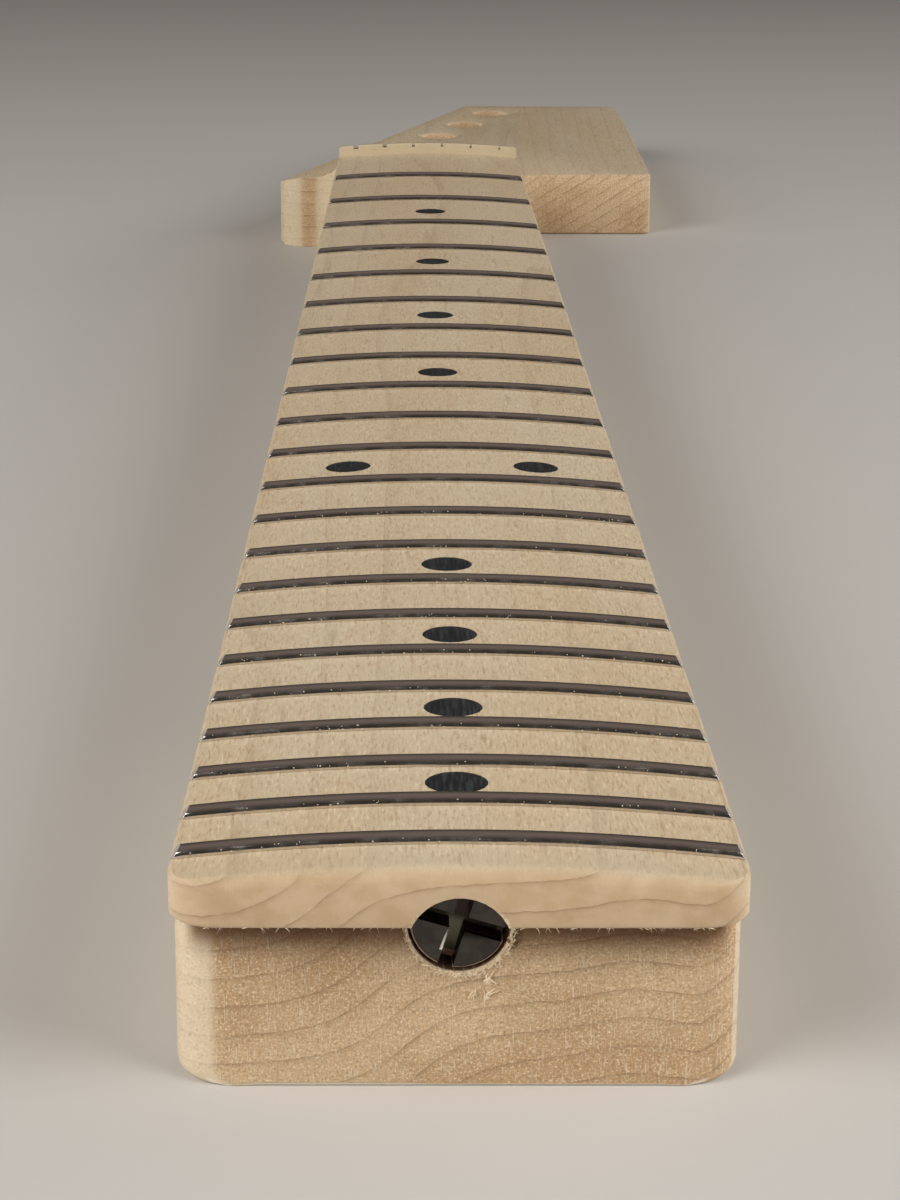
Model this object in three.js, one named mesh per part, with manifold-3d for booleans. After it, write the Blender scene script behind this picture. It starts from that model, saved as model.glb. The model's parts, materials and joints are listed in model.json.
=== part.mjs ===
// One-piece maple electric guitar neck: 22 frets, 648 mm scale, unshaped six-in-line headstock,
// truss rod adjusted at the heel. Millimetres, +Z up, +Y from heel to headstock, +X to the treble side.
// Z = 0 is the flat back of the heel, and the origin is the centre of the flat that bolts to a body.

import * as THREE from 'three';
import { mergeVertices } from 'three/addons/utils/BufferGeometryUtils.js';
import Module from 'manifold-3d';

const wasm = await Module();
wasm.setup();

// Scale and fingerboard
const SCALE_LENGTH = 648;
const FRET_COUNT = 22;
const NUT_Y = 430;
const HALF_WIDTH_AT_NUT = 21.7;
const HALF_WIDTH_AT_LAST_FRET = 28.2;
const CROWN_Z = 25.4;
const BOARD_RADIUS = 241.3;
const EDGE_ROLL = 0.35;
const TOP_SEGMENTS = 4; // facets on each half of the board, its frets and its slots

// Heel block and the overhanging end of the fingerboard
const HEEL_END_Y = -38;
const HEEL_FLAT_END_Y = 38;
const HEEL_CORNER_R = 5;
const HEEL_EDGE_R = 1.6;
const OVERHANG_END_Y = -44.2;
const OVERHANG_BOTTOM_Z = 19.4;
const OVERHANG_CORNER_R = 5;
const OVERHANG_ROUNDOVER = 1.2;
const CORNER_STEPS = 6;

// Back of the shaft: a full C section between the heel and the headstock
const SCOOP_END_Y = 88;
const SHAFT_BACK_Z_AT_HEEL = 2.6;
const SHAFT_BACK_Z_AT_HEAD = 4.1;
const SHAFT_HEAD_Y = 396;
const SQUARE_FROM_Y = 438;
const C_EXPONENT = 2.25;
const EDGE_STEPS = 3;
const FLAT_STEPS = 3;
const LOWER_STEPS = 1 + EDGE_STEPS + FLAT_STEPS; // facets on each half of the back
const SCOOP_STEPS = 8;
const SHAFT_STEPS = 6;
const VOLUTE_STEPS = 8;
const SHAFT_END_Y = 470;

// Headstock paddle
const HEAD_FACE_Z = 15.4;
const HEAD_EDGE_R = 1.2;
const HEAD_END_Y = 600;
const HEAD_RIGHT_X = 57.6;
const HEAD_LAP = 4; // how far the paddle reaches under the shaft's end
const HEAD_CLEARANCE = 20; // how far the waste reaches past the wood
const RAMP_RADIUS = 16;
const RAMP_TOP_Z = 26;
const RAMP_START_Y = 436.6;
const RAMP_STEPS = 8;
const BASS_SHOULDER_Y = 444;
const BASS_FILLET_R = 8;
const BASS_CORNER_R = 7;
const TREBLE_SHOULDER_Y = 464;
const TREBLE_FILLET_R = 10;
const TREBLE_CORNER_R = 2.5;
const FAR_RIGHT_R = 6;
const FAR_LEFT_R = 3;
const TUNER_EDGE_POINT = [-34.8, 458.3];
const TUNER_EDGE_ANGLE = THREE.MathUtils.degToRad(71.74);
const TUNER_COUNT = 6;
const TUNER_HOLE_R = 5;
const TUNER_HOLE_SIDES = 28;
const TUNER_SPACING = 25.4;
const TUNER_INSET = 12.5;
const FIRST_TUNER_Y = 466.3;

// Frets: T-section wire, crown above the board and tang in a sawn slot
const FRET_CROWN_WIDTH = 2.2;
const FRET_CROWN_HEIGHT = 1;
const FRET_FOOT = 0.15;
const FRET_CROWN_STEPS = 4;
const FRET_END_INSET = 0.2;
const FRET_END_BEVEL = 0.7;
const TANG_WIDTH = 0.5;
const TANG_DEPTH = 1.8;
const TANG_END_INSET = 0.12;
const SLOT_WIDTH = 0.6;
const SLOT_DEPTH = 2.1;
const SEAT_GAP = 0.05;

// Position markers
const MARKED_FRETS = [3, 5, 7, 9, 12, 15, 17, 19, 21];
const OCTAVE_FRET = 12;
const DOT_RADIUS = 3.25;
const DOT_DEPTH = 2.2;
const DOT_SIDES = 18;
const OCTAVE_DOT_X = 13.65;
const SIDE_DOT_RADIUS = 1;
const SIDE_DOT_DEPTH = 2.4;
const SIDE_DOT_Z = 22.1;
const SIDE_DOT_SIDES = 8;
const SIDE_OCTAVE_SPREAD = 5;
const POCKET_GAP = 0.05;
const CUT_CLEARANCE = 1; // how far a cutting tool reaches past the wood it leaves

// String nut
const NUT_THICKNESS = 3.2;
const NUT_RISE = 2.6;
const NUT_SLOT_FLOOR_Z = 21.9;
const NUT_BACK_FALL = 1.1;
const NUT_FLAT_END = 1.4;
const NUT_EDGE_BREAK = 0.3;
const NUT_END_BREAK = 0.5;
const NUT_END_INSET = 0.1;
const NUT_FACETS = 8;
const STRING_SPACING = 7;
const STRING_SLOT_WIDTHS = [1.2, 1, 0.8, 0.6, 0.5, 0.4];
const STRING_SLOT_RISE = 1.7;

// Truss rod, its anchor, washer and adjusting nut
const ROD_RADIUS = 2.35;
const ROD_AXIS_Z = 17.4;
const ROD_START_Y = -32.6;
const ROD_BEND_START_Y = 10;
const ROD_END_Y = 436;
const ROD_END_Z = 16.8;
const ROD_END_SLOPE = 0.1;
const ROD_HOLE_RADIUS = 2.6;
const ROD_CLEARANCE = 0.2;
const ROD_SIDES = 10;
const ROD_HOLE_SIDES = 12;
const ROD_HOLE_BEND_Y = 416;
const ROD_BOW_STEPS = 12;
const COUNTERBORE_R = 5.1;
const COUNTERBORE_FLOOR_Y = -24.1;
const COUNTERBORE_SIDES = 32;
const ROD_NUT_R = 4.85;
const ROD_NUT_FACE_Y = -37.7;
const ROD_NUT_LENGTH = 11.8;
const ROD_NUT_CHAMFER = 0.3;
const ROD_NUT_WEB = 4.6;
const ROD_NUT_BORE_R = 2.5;
const ROD_NUT_SIDES = 30;
const DRIVER_SLOT_WIDTH = 1.5;
const DRIVER_SLOT_DEPTH = 3;
const DRIVER_SLOT_TURN = THREE.MathUtils.degToRad(16.5);
const WASHER_R = 4.8;
const WASHER_THICKNESS = 1.2;
const WASHER_GAP = 0.1;
const WASHER_SIDES = 24;
const ANCHOR_R = 3.9;
const ANCHOR_START_Y = 429.3;
const ANCHOR_END_Y = 438.9;
const ANCHOR_SIDES = 16;
const PLUG_R = 4;
const PLUG_BORE_R = 4.1;
const PLUG_BORE_START_Y = 428.8;
const PLUG_START_Y = 439.3;
const PLUG_END_Y = 480;
const PLUG_SIDES = 24;

// Routed channel under the rod and the walnut strip that closes it
const CHANNEL_HALF_WIDTH = 3.2;
const CHANNEL_START_Y = 30;
const CHANNEL_END_Y = 404;
const CHANNEL_STEPS = 16;
const CHANNEL_END_STEPS = 6;
const STRIPE_GAP = 0.05;

const maple = new THREE.MeshStandardMaterial({ color: 0xd9bd95, roughness: 0.55, metalness: 0 });
const walnut = new THREE.MeshStandardMaterial({ color: 0x5a3823, roughness: 0.6, metalness: 0 });
const nickelSilver = new THREE.MeshStandardMaterial({ color: 0xb9b8b2, roughness: 0.22, metalness: 1 });
const darkPlastic = new THREE.MeshStandardMaterial({ color: 0x23282a, roughness: 0.35, metalness: 0 });
const bone = new THREE.MeshStandardMaterial({ color: 0xd8cbb0, roughness: 0.4, metalness: 0 });
const steel = new THREE.MeshStandardMaterial({ color: 0x77787a, roughness: 0.4, metalness: 1 });
const blackSteel = new THREE.MeshStandardMaterial({ color: 0x35353a, roughness: 0.25, metalness: 1 });

// Shared measures of the neck

function lerp(a, b, t) {
  return a + (b - a) * t;
}

function easeBetween(value, start, end) {
  return THREE.MathUtils.smoothstep(value, start, end);
}

function fretY(number) {
  return NUT_Y - SCALE_LENGTH * (1 - 2 ** (-number / 12));
}

function halfWidth(y) {
  const taper = (NUT_Y - y) / (NUT_Y - fretY(FRET_COUNT));
  return lerp(HALF_WIDTH_AT_NUT, HALF_WIDTH_AT_LAST_FRET, taper);
}

function boardZ(x) {
  return CROWN_Z - BOARD_RADIUS + Math.sqrt(BOARD_RADIUS ** 2 - x ** 2);
}

// How far a quarter-round of the given radius pulls an edge in, at a distance from its end
function roundedIn(radius, distance) {
  const rest = Math.max(radius - distance, 0);
  return radius - Math.sqrt(radius ** 2 - rest ** 2);
}

// The rod bows towards the back between its two ends (cubic Hermite curve in the YZ plane)
function rodZ(y) {
  if (y <= ROD_BEND_START_Y) return ROD_AXIS_Z;
  if (y >= ROD_END_Y) return ROD_END_Z + ROD_END_SLOPE * (y - ROD_END_Y);
  const span = ROD_END_Y - ROD_BEND_START_Y;
  const t = (y - ROD_BEND_START_Y) / span;
  const startWeight = 2 * t ** 3 - 3 * t ** 2 + 1;
  const slopeWeight = t ** 3 - t ** 2;
  return startWeight * ROD_AXIS_Z + (1 - startWeight) * ROD_END_Z + slopeWeight * span * ROD_END_SLOPE;
}

function spread(start, end, steps) {
  return Array.from({ length: steps + 1 }, (_, i) => lerp(start, end, i / steps));
}

// Distances from an end at which a corner rounded to a radius turns by equal angles
function cornerStations(radius) {
  return spread(0, Math.PI / 2, CORNER_STEPS).map((angle) => radius * (1 - Math.cos(angle)));
}

// Solids and geometries

function toSolid(geometry) {
  const bare = geometry.clone();
  bare.deleteAttribute('normal');
  bare.deleteAttribute('uv');
  const merged = mergeVertices(bare, 1e-4);
  const mesh = new wasm.Mesh({
    numProp: 3,
    vertProperties: new Float32Array(merged.attributes.position.array),
    triVerts: new Uint32Array(merged.index.array),
  });
  return new wasm.Manifold(mesh);
}

function toGeometry(solid) {
  const mesh = solid.getMesh();
  const geometry = new THREE.BufferGeometry();
  geometry.setAttribute('position', new THREE.BufferAttribute(new Float32Array(mesh.vertProperties), 3));
  geometry.setIndex(new THREE.BufferAttribute(new Uint32Array(mesh.triVerts), 1));
  geometry.computeVertexNormals();
  return geometry;
}

function average(points) {
  return [0, 1, 2].map((axis) => points.reduce((sum, point) => sum + point[axis], 0) / points.length);
}

// Skin over closed rings of equal length. Its first and last ring are closed by triangles around a
// hub, a point of the cap from which the whole ring can be seen.
function loft(rings, hubOf = average) {
  const count = rings[0].length;
  const triangles = [];
  for (let r = 0; r < rings.length - 1; r += 1) {
    for (let i = 0; i < count; i += 1) {
      const j = (i + 1) % count;
      const [a, b, c, d] = [rings[r][i], rings[r][j], rings[r + 1][j], rings[r + 1][i]];
      triangles.push([a, b, c], [a, c, d]);
    }
  }
  const first = rings[0];
  const last = rings[rings.length - 1];
  for (let i = 0; i < count; i += 1) {
    const j = (i + 1) % count;
    triangles.push([hubOf(first), first[j], first[i]], [hubOf(last), last[i], last[j]]);
  }
  return closedGeometry(triangles);
}

// Triangles of shared corners, without the ones that have no area, turned to face outwards
function closedGeometry(triangles) {
  const key = (point) => point.map((value) => Math.round(value * 1e4)).join();
  const points = new Map();
  const index = [];
  for (const triangle of triangles) {
    const corners = triangle.map((point) => {
      const name = key(point);
      if (!points.has(name)) points.set(name, { id: points.size, point });
      return points.get(name).id;
    });
    if (new Set(corners).size === 3) index.push(...corners);
  }
  const positions = [...points.values()].flatMap(({ point }) => point);
  const geometry = new THREE.BufferGeometry();
  geometry.setAttribute('position', new THREE.Float32BufferAttribute(positions, 3));
  if (signedVolume(positions, index) < 0) index.reverse();
  geometry.setIndex(index);
  return geometry;
}

function signedVolume(positions, index) {
  const corner = (k) => new THREE.Vector3().fromArray(positions, index[k] * 3);
  let volume = 0;
  for (let i = 0; i < index.length; i += 3) {
    volume += corner(i).dot(corner(i + 1).cross(corner(i + 2))) / 6;
  }
  return volume;
}

function box(x0, x1, y0, y1, z0, z1) {
  const geometry = new THREE.BoxGeometry(x1 - x0, y1 - y0, z1 - z0);
  geometry.translate((x0 + x1) / 2, (y0 + y1) / 2, (z0 + z1) / 2);
  return toSolid(geometry);
}

// Plan outline in XY, raised along Z
function prismOnPlan(shape, z0, z1, curveSegments = 8) {
  const geometry = new THREE.ExtrudeGeometry(shape, { depth: z1 - z0, bevelEnabled: false, curveSegments });
  geometry.translate(0, 0, z0);
  return toSolid(geometry);
}

// Side outline in YZ, given as points, drawn out along X
function prismOnSide(points, halfDepth, hubOf = average) {
  const ring = (x) => points.map(([y, z]) => [x, y, z]);
  return toSolid(loft([ring(-halfDepth), ring(halfDepth)], hubOf));
}

// Round bar along Y whose centre follows height(y)
function roundBar(stations, radius, height, sides) {
  const rings = stations.map((y) => {
    const centre = height(y);
    return Array.from({ length: sides }, (_, i) => {
      const angle = ((i + 0.5) / sides) * 2 * Math.PI;
      return [radius * Math.cos(angle), y, centre + radius * Math.sin(angle)];
    });
  });
  return loft(rings);
}

function cylinderAlongZ(x, y, radius, z0, z1, sides) {
  const geometry = new THREE.CylinderGeometry(radius, radius, z1 - z0, sides);
  geometry.rotateX(Math.PI / 2);
  geometry.translate(x, y, (z0 + z1) / 2);
  return geometry;
}

// Neck blank: overhang, heel block, scoop, C-profile shaft and the square end inside the headstock

function topHalf(y) {
  const end = y - OVERHANG_END_Y;
  const drop = roundedIn(OVERHANG_ROUNDOVER, end);
  const width = halfWidth(y) - roundedIn(OVERHANG_CORNER_R, end);
  const inner = width - EDGE_ROLL;
  const points = spread(0, inner, TOP_SEGMENTS).map((x) => [x, boardZ(x) - drop]);
  points.push([width, boardZ(width) - EDGE_ROLL - drop], [width, OVERHANG_BOTTOM_Z]);
  return points;
}

// Underside of the overhang, with as many points as the section of the heel has
function overhangBottomHalf(y) {
  const heelEndWidth = halfWidth(HEEL_END_Y) - HEEL_CORNER_R;
  const width = halfWidth(y) - roundedIn(OVERHANG_CORNER_R, y - OVERHANG_END_Y);
  return spread(Math.min(width, heelEndWidth), 0, LOWER_STEPS).map((x) => [x, OVERHANG_BOTTOM_Z]);
}

// Rectangle with rounded lower edges, as points that match those of the C section
function blockHalf(width, backZ, edgeRadius) {
  const points = [[width, OVERHANG_BOTTOM_Z]];
  for (const angle of spread(0, Math.PI / 2, EDGE_STEPS)) {
    const x = width - edgeRadius * (1 - Math.cos(angle));
    points.push([x, backZ + edgeRadius * (1 - Math.sin(angle))]);
  }
  const flat = spread(width - edgeRadius, 0, FLAT_STEPS).slice(1);
  return [...points, ...flat.map((x) => [x, backZ])];
}

function cSectionHalf(width, backZ) {
  const power = 2 / C_EXPONENT;
  const depth = OVERHANG_BOTTOM_Z - backZ;
  return spread(0, Math.PI / 2, LOWER_STEPS).map((angle) => [
    width * Math.max(Math.cos(angle), 0) ** power,
    OVERHANG_BOTTOM_Z - depth * Math.sin(angle) ** power,
  ]);
}

function shaftBackZ(y) {
  return lerp(SHAFT_BACK_Z_AT_HEEL, SHAFT_BACK_Z_AT_HEAD, (y - SCOOP_END_Y) / (SHAFT_HEAD_Y - SCOOP_END_Y));
}

// Section of the solid neck: a block at the heel, a C along the shaft, a block in the headstock
function bottomHalf(y) {
  const roundness = easeBetween(y, HEEL_FLAT_END_Y, SCOOP_END_Y)
    - easeBetween(y, SHAFT_HEAD_Y, SQUARE_FROM_Y);
  const width = halfWidth(y) - roundedIn(HEEL_CORNER_R, y - HEEL_END_Y);
  const edge = lerp(HEEL_EDGE_R, HEAD_EDGE_R, easeBetween(y, SHAFT_HEAD_Y, SQUARE_FROM_Y));
  const block = blockHalf(width, 0, edge);
  const rounded = cSectionHalf(width, shaftBackZ(y));
  return block.map(([x, z], i) => [lerp(x, rounded[i][0], roundness), lerp(z, rounded[i][1], roundness)]);
}

function wholeRing(half, y) {
  const left = half.slice(1, -1).reverse();
  return [...half.map(([x, z]) => [x, y, z]), ...left.map(([x, z]) => [-x, y, z])];
}

function neckBlank() {
  const overhang = cornerStations(OVERHANG_CORNER_R).map((distance) => OVERHANG_END_Y + distance);
  const heel = cornerStations(HEEL_CORNER_R).map((distance) => HEEL_END_Y + distance);
  const scoop = spread(HEEL_FLAT_END_Y, SCOOP_END_Y, SCOOP_STEPS);
  const shaft = spread(SCOOP_END_Y, SHAFT_HEAD_Y, SHAFT_STEPS).slice(1);
  const head = spread(SHAFT_HEAD_Y, SQUARE_FROM_Y, VOLUTE_STEPS).slice(1);
  const overhangRings = [...overhang, HEEL_END_Y]
    .map((y) => wholeRing([...topHalf(y), ...overhangBottomHalf(y)], y));
  const solidStations = [...heel, ...scoop, ...shaft, ...head, SHAFT_END_Y];
  const solidRings = solidStations.map((y) => wholeRing([...topHalf(y), ...bottomHalf(y)], y));
  return toSolid(loft([...overhangRings, ...solidRings]));
}

// Headstock

function tunerEdgeAt(y) {
  return TUNER_EDGE_POINT[0] + (y - TUNER_EDGE_POINT[1]) / Math.tan(TUNER_EDGE_ANGLE);
}

// Corner between two straight edges, rounded to a radius
function roundCorner(shape, before, corner, after, radius) {
  const toBefore = new THREE.Vector2().subVectors(before, corner).normalize();
  const toAfter = new THREE.Vector2().subVectors(after, corner).normalize();
  const half = Math.acos(toBefore.dot(toAfter)) / 2;
  const reach = radius / Math.tan(half);
  const start = corner.clone().addScaledVector(toBefore, reach);
  const middle = toBefore.clone().add(toAfter).normalize();
  const centre = corner.clone().addScaledVector(middle, radius / Math.sin(half));
  const end = corner.clone().addScaledVector(toAfter, reach);
  const startAngle = Math.atan2(start.y - centre.y, start.x - centre.x);
  const endAngle = Math.atan2(end.y - centre.y, end.x - centre.x);
  const turnsRight = toBefore.cross(toAfter) > 0;
  shape.lineTo(start.x, start.y);
  shape.absarc(centre.x, centre.y, radius, startAngle, endAngle, turnsRight);
}

function headstockPaddle() {
  const bassX = -halfWidth(BASS_SHOULDER_Y);
  const trebleX = halfWidth(TREBLE_SHOULDER_Y);
  const corners = [
    [bassX, BASS_SHOULDER_Y, BASS_FILLET_R],
    [tunerEdgeAt(BASS_SHOULDER_Y), BASS_SHOULDER_Y, BASS_CORNER_R],
    [tunerEdgeAt(HEAD_END_Y), HEAD_END_Y, FAR_LEFT_R],
    [HEAD_RIGHT_X, HEAD_END_Y, FAR_RIGHT_R],
    [HEAD_RIGHT_X, TREBLE_SHOULDER_Y, TREBLE_CORNER_R],
    [trebleX, TREBLE_SHOULDER_Y, TREBLE_FILLET_R],
  ];
  const startY = BASS_SHOULDER_Y - BASS_FILLET_R;
  const endY = TREBLE_SHOULDER_Y - TREBLE_FILLET_R;
  const path = [new THREE.Vector2(bassX, startY), ...corners.map(([x, y]) => new THREE.Vector2(x, y))];
  path.push(new THREE.Vector2(trebleX, endY));
  const shape = new THREE.Shape();
  shape.moveTo(bassX, startY);
  corners.forEach(([, , radius], i) => roundCorner(shape, path[i], path[i + 1], path[i + 2], radius));
  shape.lineTo(trebleX, endY);
  shape.lineTo(bassX / 2, BASS_SHOULDER_Y + HEAD_LAP);
  return prismOnPlan(shape, 0, CROWN_Z);
}

// What is sawn away above the headstock: a concave ramp behind the nut, then the flat face
function rampWaste() {
  const centreZ = HEAD_FACE_Z + RAMP_RADIUS;
  const rise = RAMP_TOP_Z - centreZ;
  const centreY = RAMP_START_Y + Math.sqrt(RAMP_RADIUS ** 2 - rise ** 2);
  const startAngle = Math.PI + Math.asin(-rise / RAMP_RADIUS);
  const arc = spread(startAngle, 1.5 * Math.PI, RAMP_STEPS).map((angle) => [
    centreY + RAMP_RADIUS * Math.cos(angle),
    centreZ + RAMP_RADIUS * Math.sin(angle),
  ]);
  const clearX = HEAD_RIGHT_X + HEAD_CLEARANCE;
  const clearY = HEAD_END_Y + HEAD_CLEARANCE;
  const clearZ = CROWN_Z + HEAD_CLEARANCE;
  return prismOnSide([...arc, [clearY, HEAD_FACE_Z], [clearY, clearZ], [RAMP_START_Y, clearZ]], clearX);
}

function tunerHoles() {
  const along = new THREE.Vector2(Math.cos(TUNER_EDGE_ANGLE), Math.sin(TUNER_EDGE_ANGLE));
  const first = new THREE.Vector2(tunerEdgeAt(FIRST_TUNER_Y), FIRST_TUNER_Y);
  return Array.from({ length: TUNER_COUNT }, (_, i) => {
    const x = first.x + along.x * TUNER_SPACING * i + along.y * TUNER_INSET;
    const y = first.y + along.y * TUNER_SPACING * i - along.x * TUNER_INSET;
    return toSolid(cylinderAlongZ(x, y, TUNER_HOLE_R, -CUT_CLEARANCE, CROWN_Z, TUNER_HOLE_SIDES));
  });
}

// Frets: a section drawn across the board along its radius.
// section is a list of [along Y, above board]; reach(above) is the half length at that height.
function acrossBoard(section, y, reach, steps) {
  const rings = spread(-1, 1, steps).map((share) =>
    section.map(([dy, above]) => {
      const radius = BOARD_RADIUS + above;
      const angle = (reach(above) * share) / radius;
      return [radius * Math.sin(angle), y + dy, CROWN_Z - BOARD_RADIUS + radius * Math.cos(angle)];
    }),
  );
  return loft(rings);
}

function fretSection() {
  const half = FRET_CROWN_WIDTH / 2;
  const dome = FRET_CROWN_HEIGHT - FRET_FOOT;
  const crown = spread(0, Math.PI, FRET_CROWN_STEPS).map((angle) => [
    half * Math.cos(angle),
    FRET_FOOT + SEAT_GAP + dome * Math.sin(angle),
  ]);
  const tang = TANG_WIDTH / 2;
  return [
    [tang, SEAT_GAP],
    [half, SEAT_GAP],
    ...crown,
    [-half, SEAT_GAP],
    [-tang, SEAT_GAP],
    [-tang, -TANG_DEPTH],
    [tang, -TANG_DEPTH],
  ];
}

function fretGeometry(number) {
  const y = fretY(number);
  const edge = halfWidth(y);
  const bevel = FRET_END_BEVEL / FRET_CROWN_HEIGHT;
  const reach = (above) => (above > 0 ? edge - FRET_END_INSET - bevel * above : edge - TANG_END_INSET);
  return acrossBoard(fretSection(), y, reach, 2 * TOP_SEGMENTS);
}

function fretSlot(number) {
  const y = fretY(number);
  const half = SLOT_WIDTH / 2;
  const section = [
    [half, -SLOT_DEPTH],
    [half, CUT_CLEARANCE],
    [-half, CUT_CLEARANCE],
    [-half, -SLOT_DEPTH],
  ];
  return toSolid(acrossBoard(section, y, () => halfWidth(y) + CUT_CLEARANCE, TOP_SEGMENTS));
}

// Markers

function markerY(fret) {
  return (fretY(fret) + fretY(fret - 1)) / 2;
}

function frontDots() {
  return MARKED_FRETS.flatMap((fret) => {
    const name = `marker_dot_${String(fret).padStart(2, '0')}`;
    const y = markerY(fret);
    if (fret !== OCTAVE_FRET) return [{ name, x: 0, y }];
    return [
      { name: `${name}_bass`, x: -OCTAVE_DOT_X, y },
      { name: `${name}_treble`, x: OCTAVE_DOT_X, y },
    ];
  });
}

function frontDotGeometry({ x, y }, radius, top, bottom) {
  const geometry = cylinderAlongZ(x, y, radius, CROWN_Z - bottom, CROWN_Z + top, DOT_SIDES);
  const points = geometry.attributes.position;
  for (let i = 0; i < points.count; i += 1) {
    points.setZ(i, points.getZ(i) + boardZ(points.getX(i)) - CROWN_Z);
  }
  return geometry;
}

function sideDots() {
  return MARKED_FRETS.flatMap((fret) => {
    const name = `side_dot_${String(fret).padStart(2, '0')}`;
    const y = markerY(fret);
    if (fret !== OCTAVE_FRET) return [{ name, y }];
    return [
      { name: `${name}_heel_side`, y: y - SIDE_OCTAVE_SPREAD },
      { name: `${name}_nut_side`, y: y + SIDE_OCTAVE_SPREAD },
    ];
  });
}

function sideDotGeometry({ y }, radius, proud, depth) {
  const geometry = new THREE.CylinderGeometry(radius, radius, depth + proud, SIDE_DOT_SIDES);
  geometry.rotateZ(Math.PI / 2);
  geometry.translate(-halfWidth(y) + (depth - proud) / 2, y, SIDE_DOT_Z);
  return geometry;
}

// String nut: crowned like the board, falling away towards the headstock, with six string slots

function stringNut() {
  const front = NUT_Y + SEAT_GAP;
  const back = front + NUT_THICKNESS;
  const end = halfWidth(NUT_Y) - NUT_END_INSET;
  const flatEnd = end - NUT_END_BREAK;
  const stations = [-end, ...spread(-flatEnd, flatEnd, NUT_FACETS), end];
  const rings = stations.map((x) => {
    const rounded = Math.abs(x) === end ? NUT_END_BREAK : 0;
    const top = boardZ(x) + NUT_RISE - rounded;
    const bottom = NUT_SLOT_FLOOR_Z + SEAT_GAP;
    return [
      [x, front, bottom],
      [x, front, top - NUT_EDGE_BREAK],
      [x, front + NUT_EDGE_BREAK, top],
      [x, front + NUT_FLAT_END, top],
      [x, back - NUT_EDGE_BREAK, top - NUT_BACK_FALL],
      [x, back, top - NUT_BACK_FALL - NUT_EDGE_BREAK],
      [x, back, bottom],
    ];
  });
  const slots = STRING_SLOT_WIDTHS.map((width, i) => {
    const x = (i - (STRING_SLOT_WIDTHS.length - 1) / 2) * STRING_SPACING;
    const floor = boardZ(x) + STRING_SLOT_RISE;
    const high = CROWN_Z + NUT_RISE + CUT_CLEARANCE;
    return box(x - width / 2, x + width / 2, front - CUT_CLEARANCE, back + CUT_CLEARANCE, floor, high);
  });
  return slots.reduce((solid, slot) => solid.subtract(slot), toSolid(loft(rings)));
}

// Truss rod and what carries it

function rodStations() {
  return [ROD_START_Y, ...spread(ROD_BEND_START_Y, ANCHOR_START_Y - 1, ROD_BOW_STEPS), ROD_END_Y];
}

function rodNut() {
  const inner = ROD_NUT_FACE_Y + ROD_NUT_LENGTH;
  const profile = [
    [0, 0],
    [ROD_NUT_R - ROD_NUT_CHAMFER, 0],
    [ROD_NUT_R, ROD_NUT_CHAMFER],
    [ROD_NUT_R, ROD_NUT_LENGTH],
    [0, ROD_NUT_LENGTH],
  ].map(([r, along]) => new THREE.Vector2(r, along));
  const body = new THREE.LatheGeometry(profile, ROD_NUT_SIDES);
  body.translate(0, ROD_NUT_FACE_Y, 0);
  const boreY = [ROD_NUT_FACE_Y + ROD_NUT_WEB, inner + CUT_CLEARANCE];
  const bore = roundBar(boreY, ROD_NUT_BORE_R, () => 0, ROD_HOLE_SIDES);
  let solid = toSolid(body).subtract(toSolid(bore));
  for (const quarter of [0, Math.PI / 2]) {
    const slot = new THREE.BoxGeometry(DRIVER_SLOT_WIDTH, 2 * DRIVER_SLOT_DEPTH, 4 * ROD_NUT_R);
    slot.rotateY(DRIVER_SLOT_TURN + quarter);
    slot.translate(0, ROD_NUT_FACE_Y, 0);
    solid = solid.subtract(toSolid(slot));
  }
  return solid.translate([0, 0, ROD_AXIS_Z]);
}

function rodWasher() {
  const start = ROD_NUT_FACE_Y + ROD_NUT_LENGTH + WASHER_GAP;
  const end = start + WASHER_THICKNESS;
  const disc = toSolid(roundBar([start, end], WASHER_R, rodZ, WASHER_SIDES));
  return disc.subtract(rodBore(start, end, ROD_NUT_BORE_R));
}

function rodAnchor() {
  const bar = toSolid(roundBar([ANCHOR_START_Y, ANCHOR_END_Y], ANCHOR_R, rodZ, ANCHOR_SIDES));
  return bar.subtract(rodBore(ANCHOR_START_Y, ANCHOR_END_Y, ROD_NUT_BORE_R));
}

// Hole along the rod, from just before one place to just past another
function rodBore(start, end, radius, sides = ROD_HOLE_SIDES) {
  const bend = [ROD_BEND_START_Y, ROD_HOLE_BEND_Y].filter((y) => y > start && y < end);
  return toSolid(roundBar([start - CUT_CLEARANCE, ...bend, end + CUT_CLEARANCE], radius, rodZ, sides));
}

function plugBar(radius, start) {
  const stations = [start, ANCHOR_END_Y, PLUG_END_Y].filter((y) => y >= start);
  return toSolid(roundBar(stations, radius, rodZ, PLUG_SIDES));
}

// Straight-sided slot with round ends, seen from the back, up to a curve at an offset from the rod
function channelSolid(halfWidthOfSlot, offset) {
  const shape = new THREE.Shape();
  shape.absarc(0, CHANNEL_START_Y, halfWidthOfSlot, Math.PI, 2 * Math.PI, false);
  shape.absarc(0, CHANNEL_END_Y, halfWidthOfSlot, 0, Math.PI, false);
  const below = -5 * CUT_CLEARANCE;
  const slot = prismOnPlan(shape, below, CROWN_Z, CHANNEL_END_STEPS);
  const start = CHANNEL_START_Y - 2 * halfWidthOfSlot;
  const end = CHANNEL_END_Y + 2 * halfWidthOfSlot;
  const curve = spread(start, end, CHANNEL_STEPS).map((y) => [y, rodZ(y) + offset]);
  const underCurve = [[start, 2 * below], ...curve, [end, 2 * below]];
  const hub = ([[x]]) => [x, (start + end) / 2, 2 * below + CUT_CLEARANCE];
  return slot.intersect(prismOnSide(underCurve, 2 * halfWidthOfSlot, hub));
}

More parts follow.
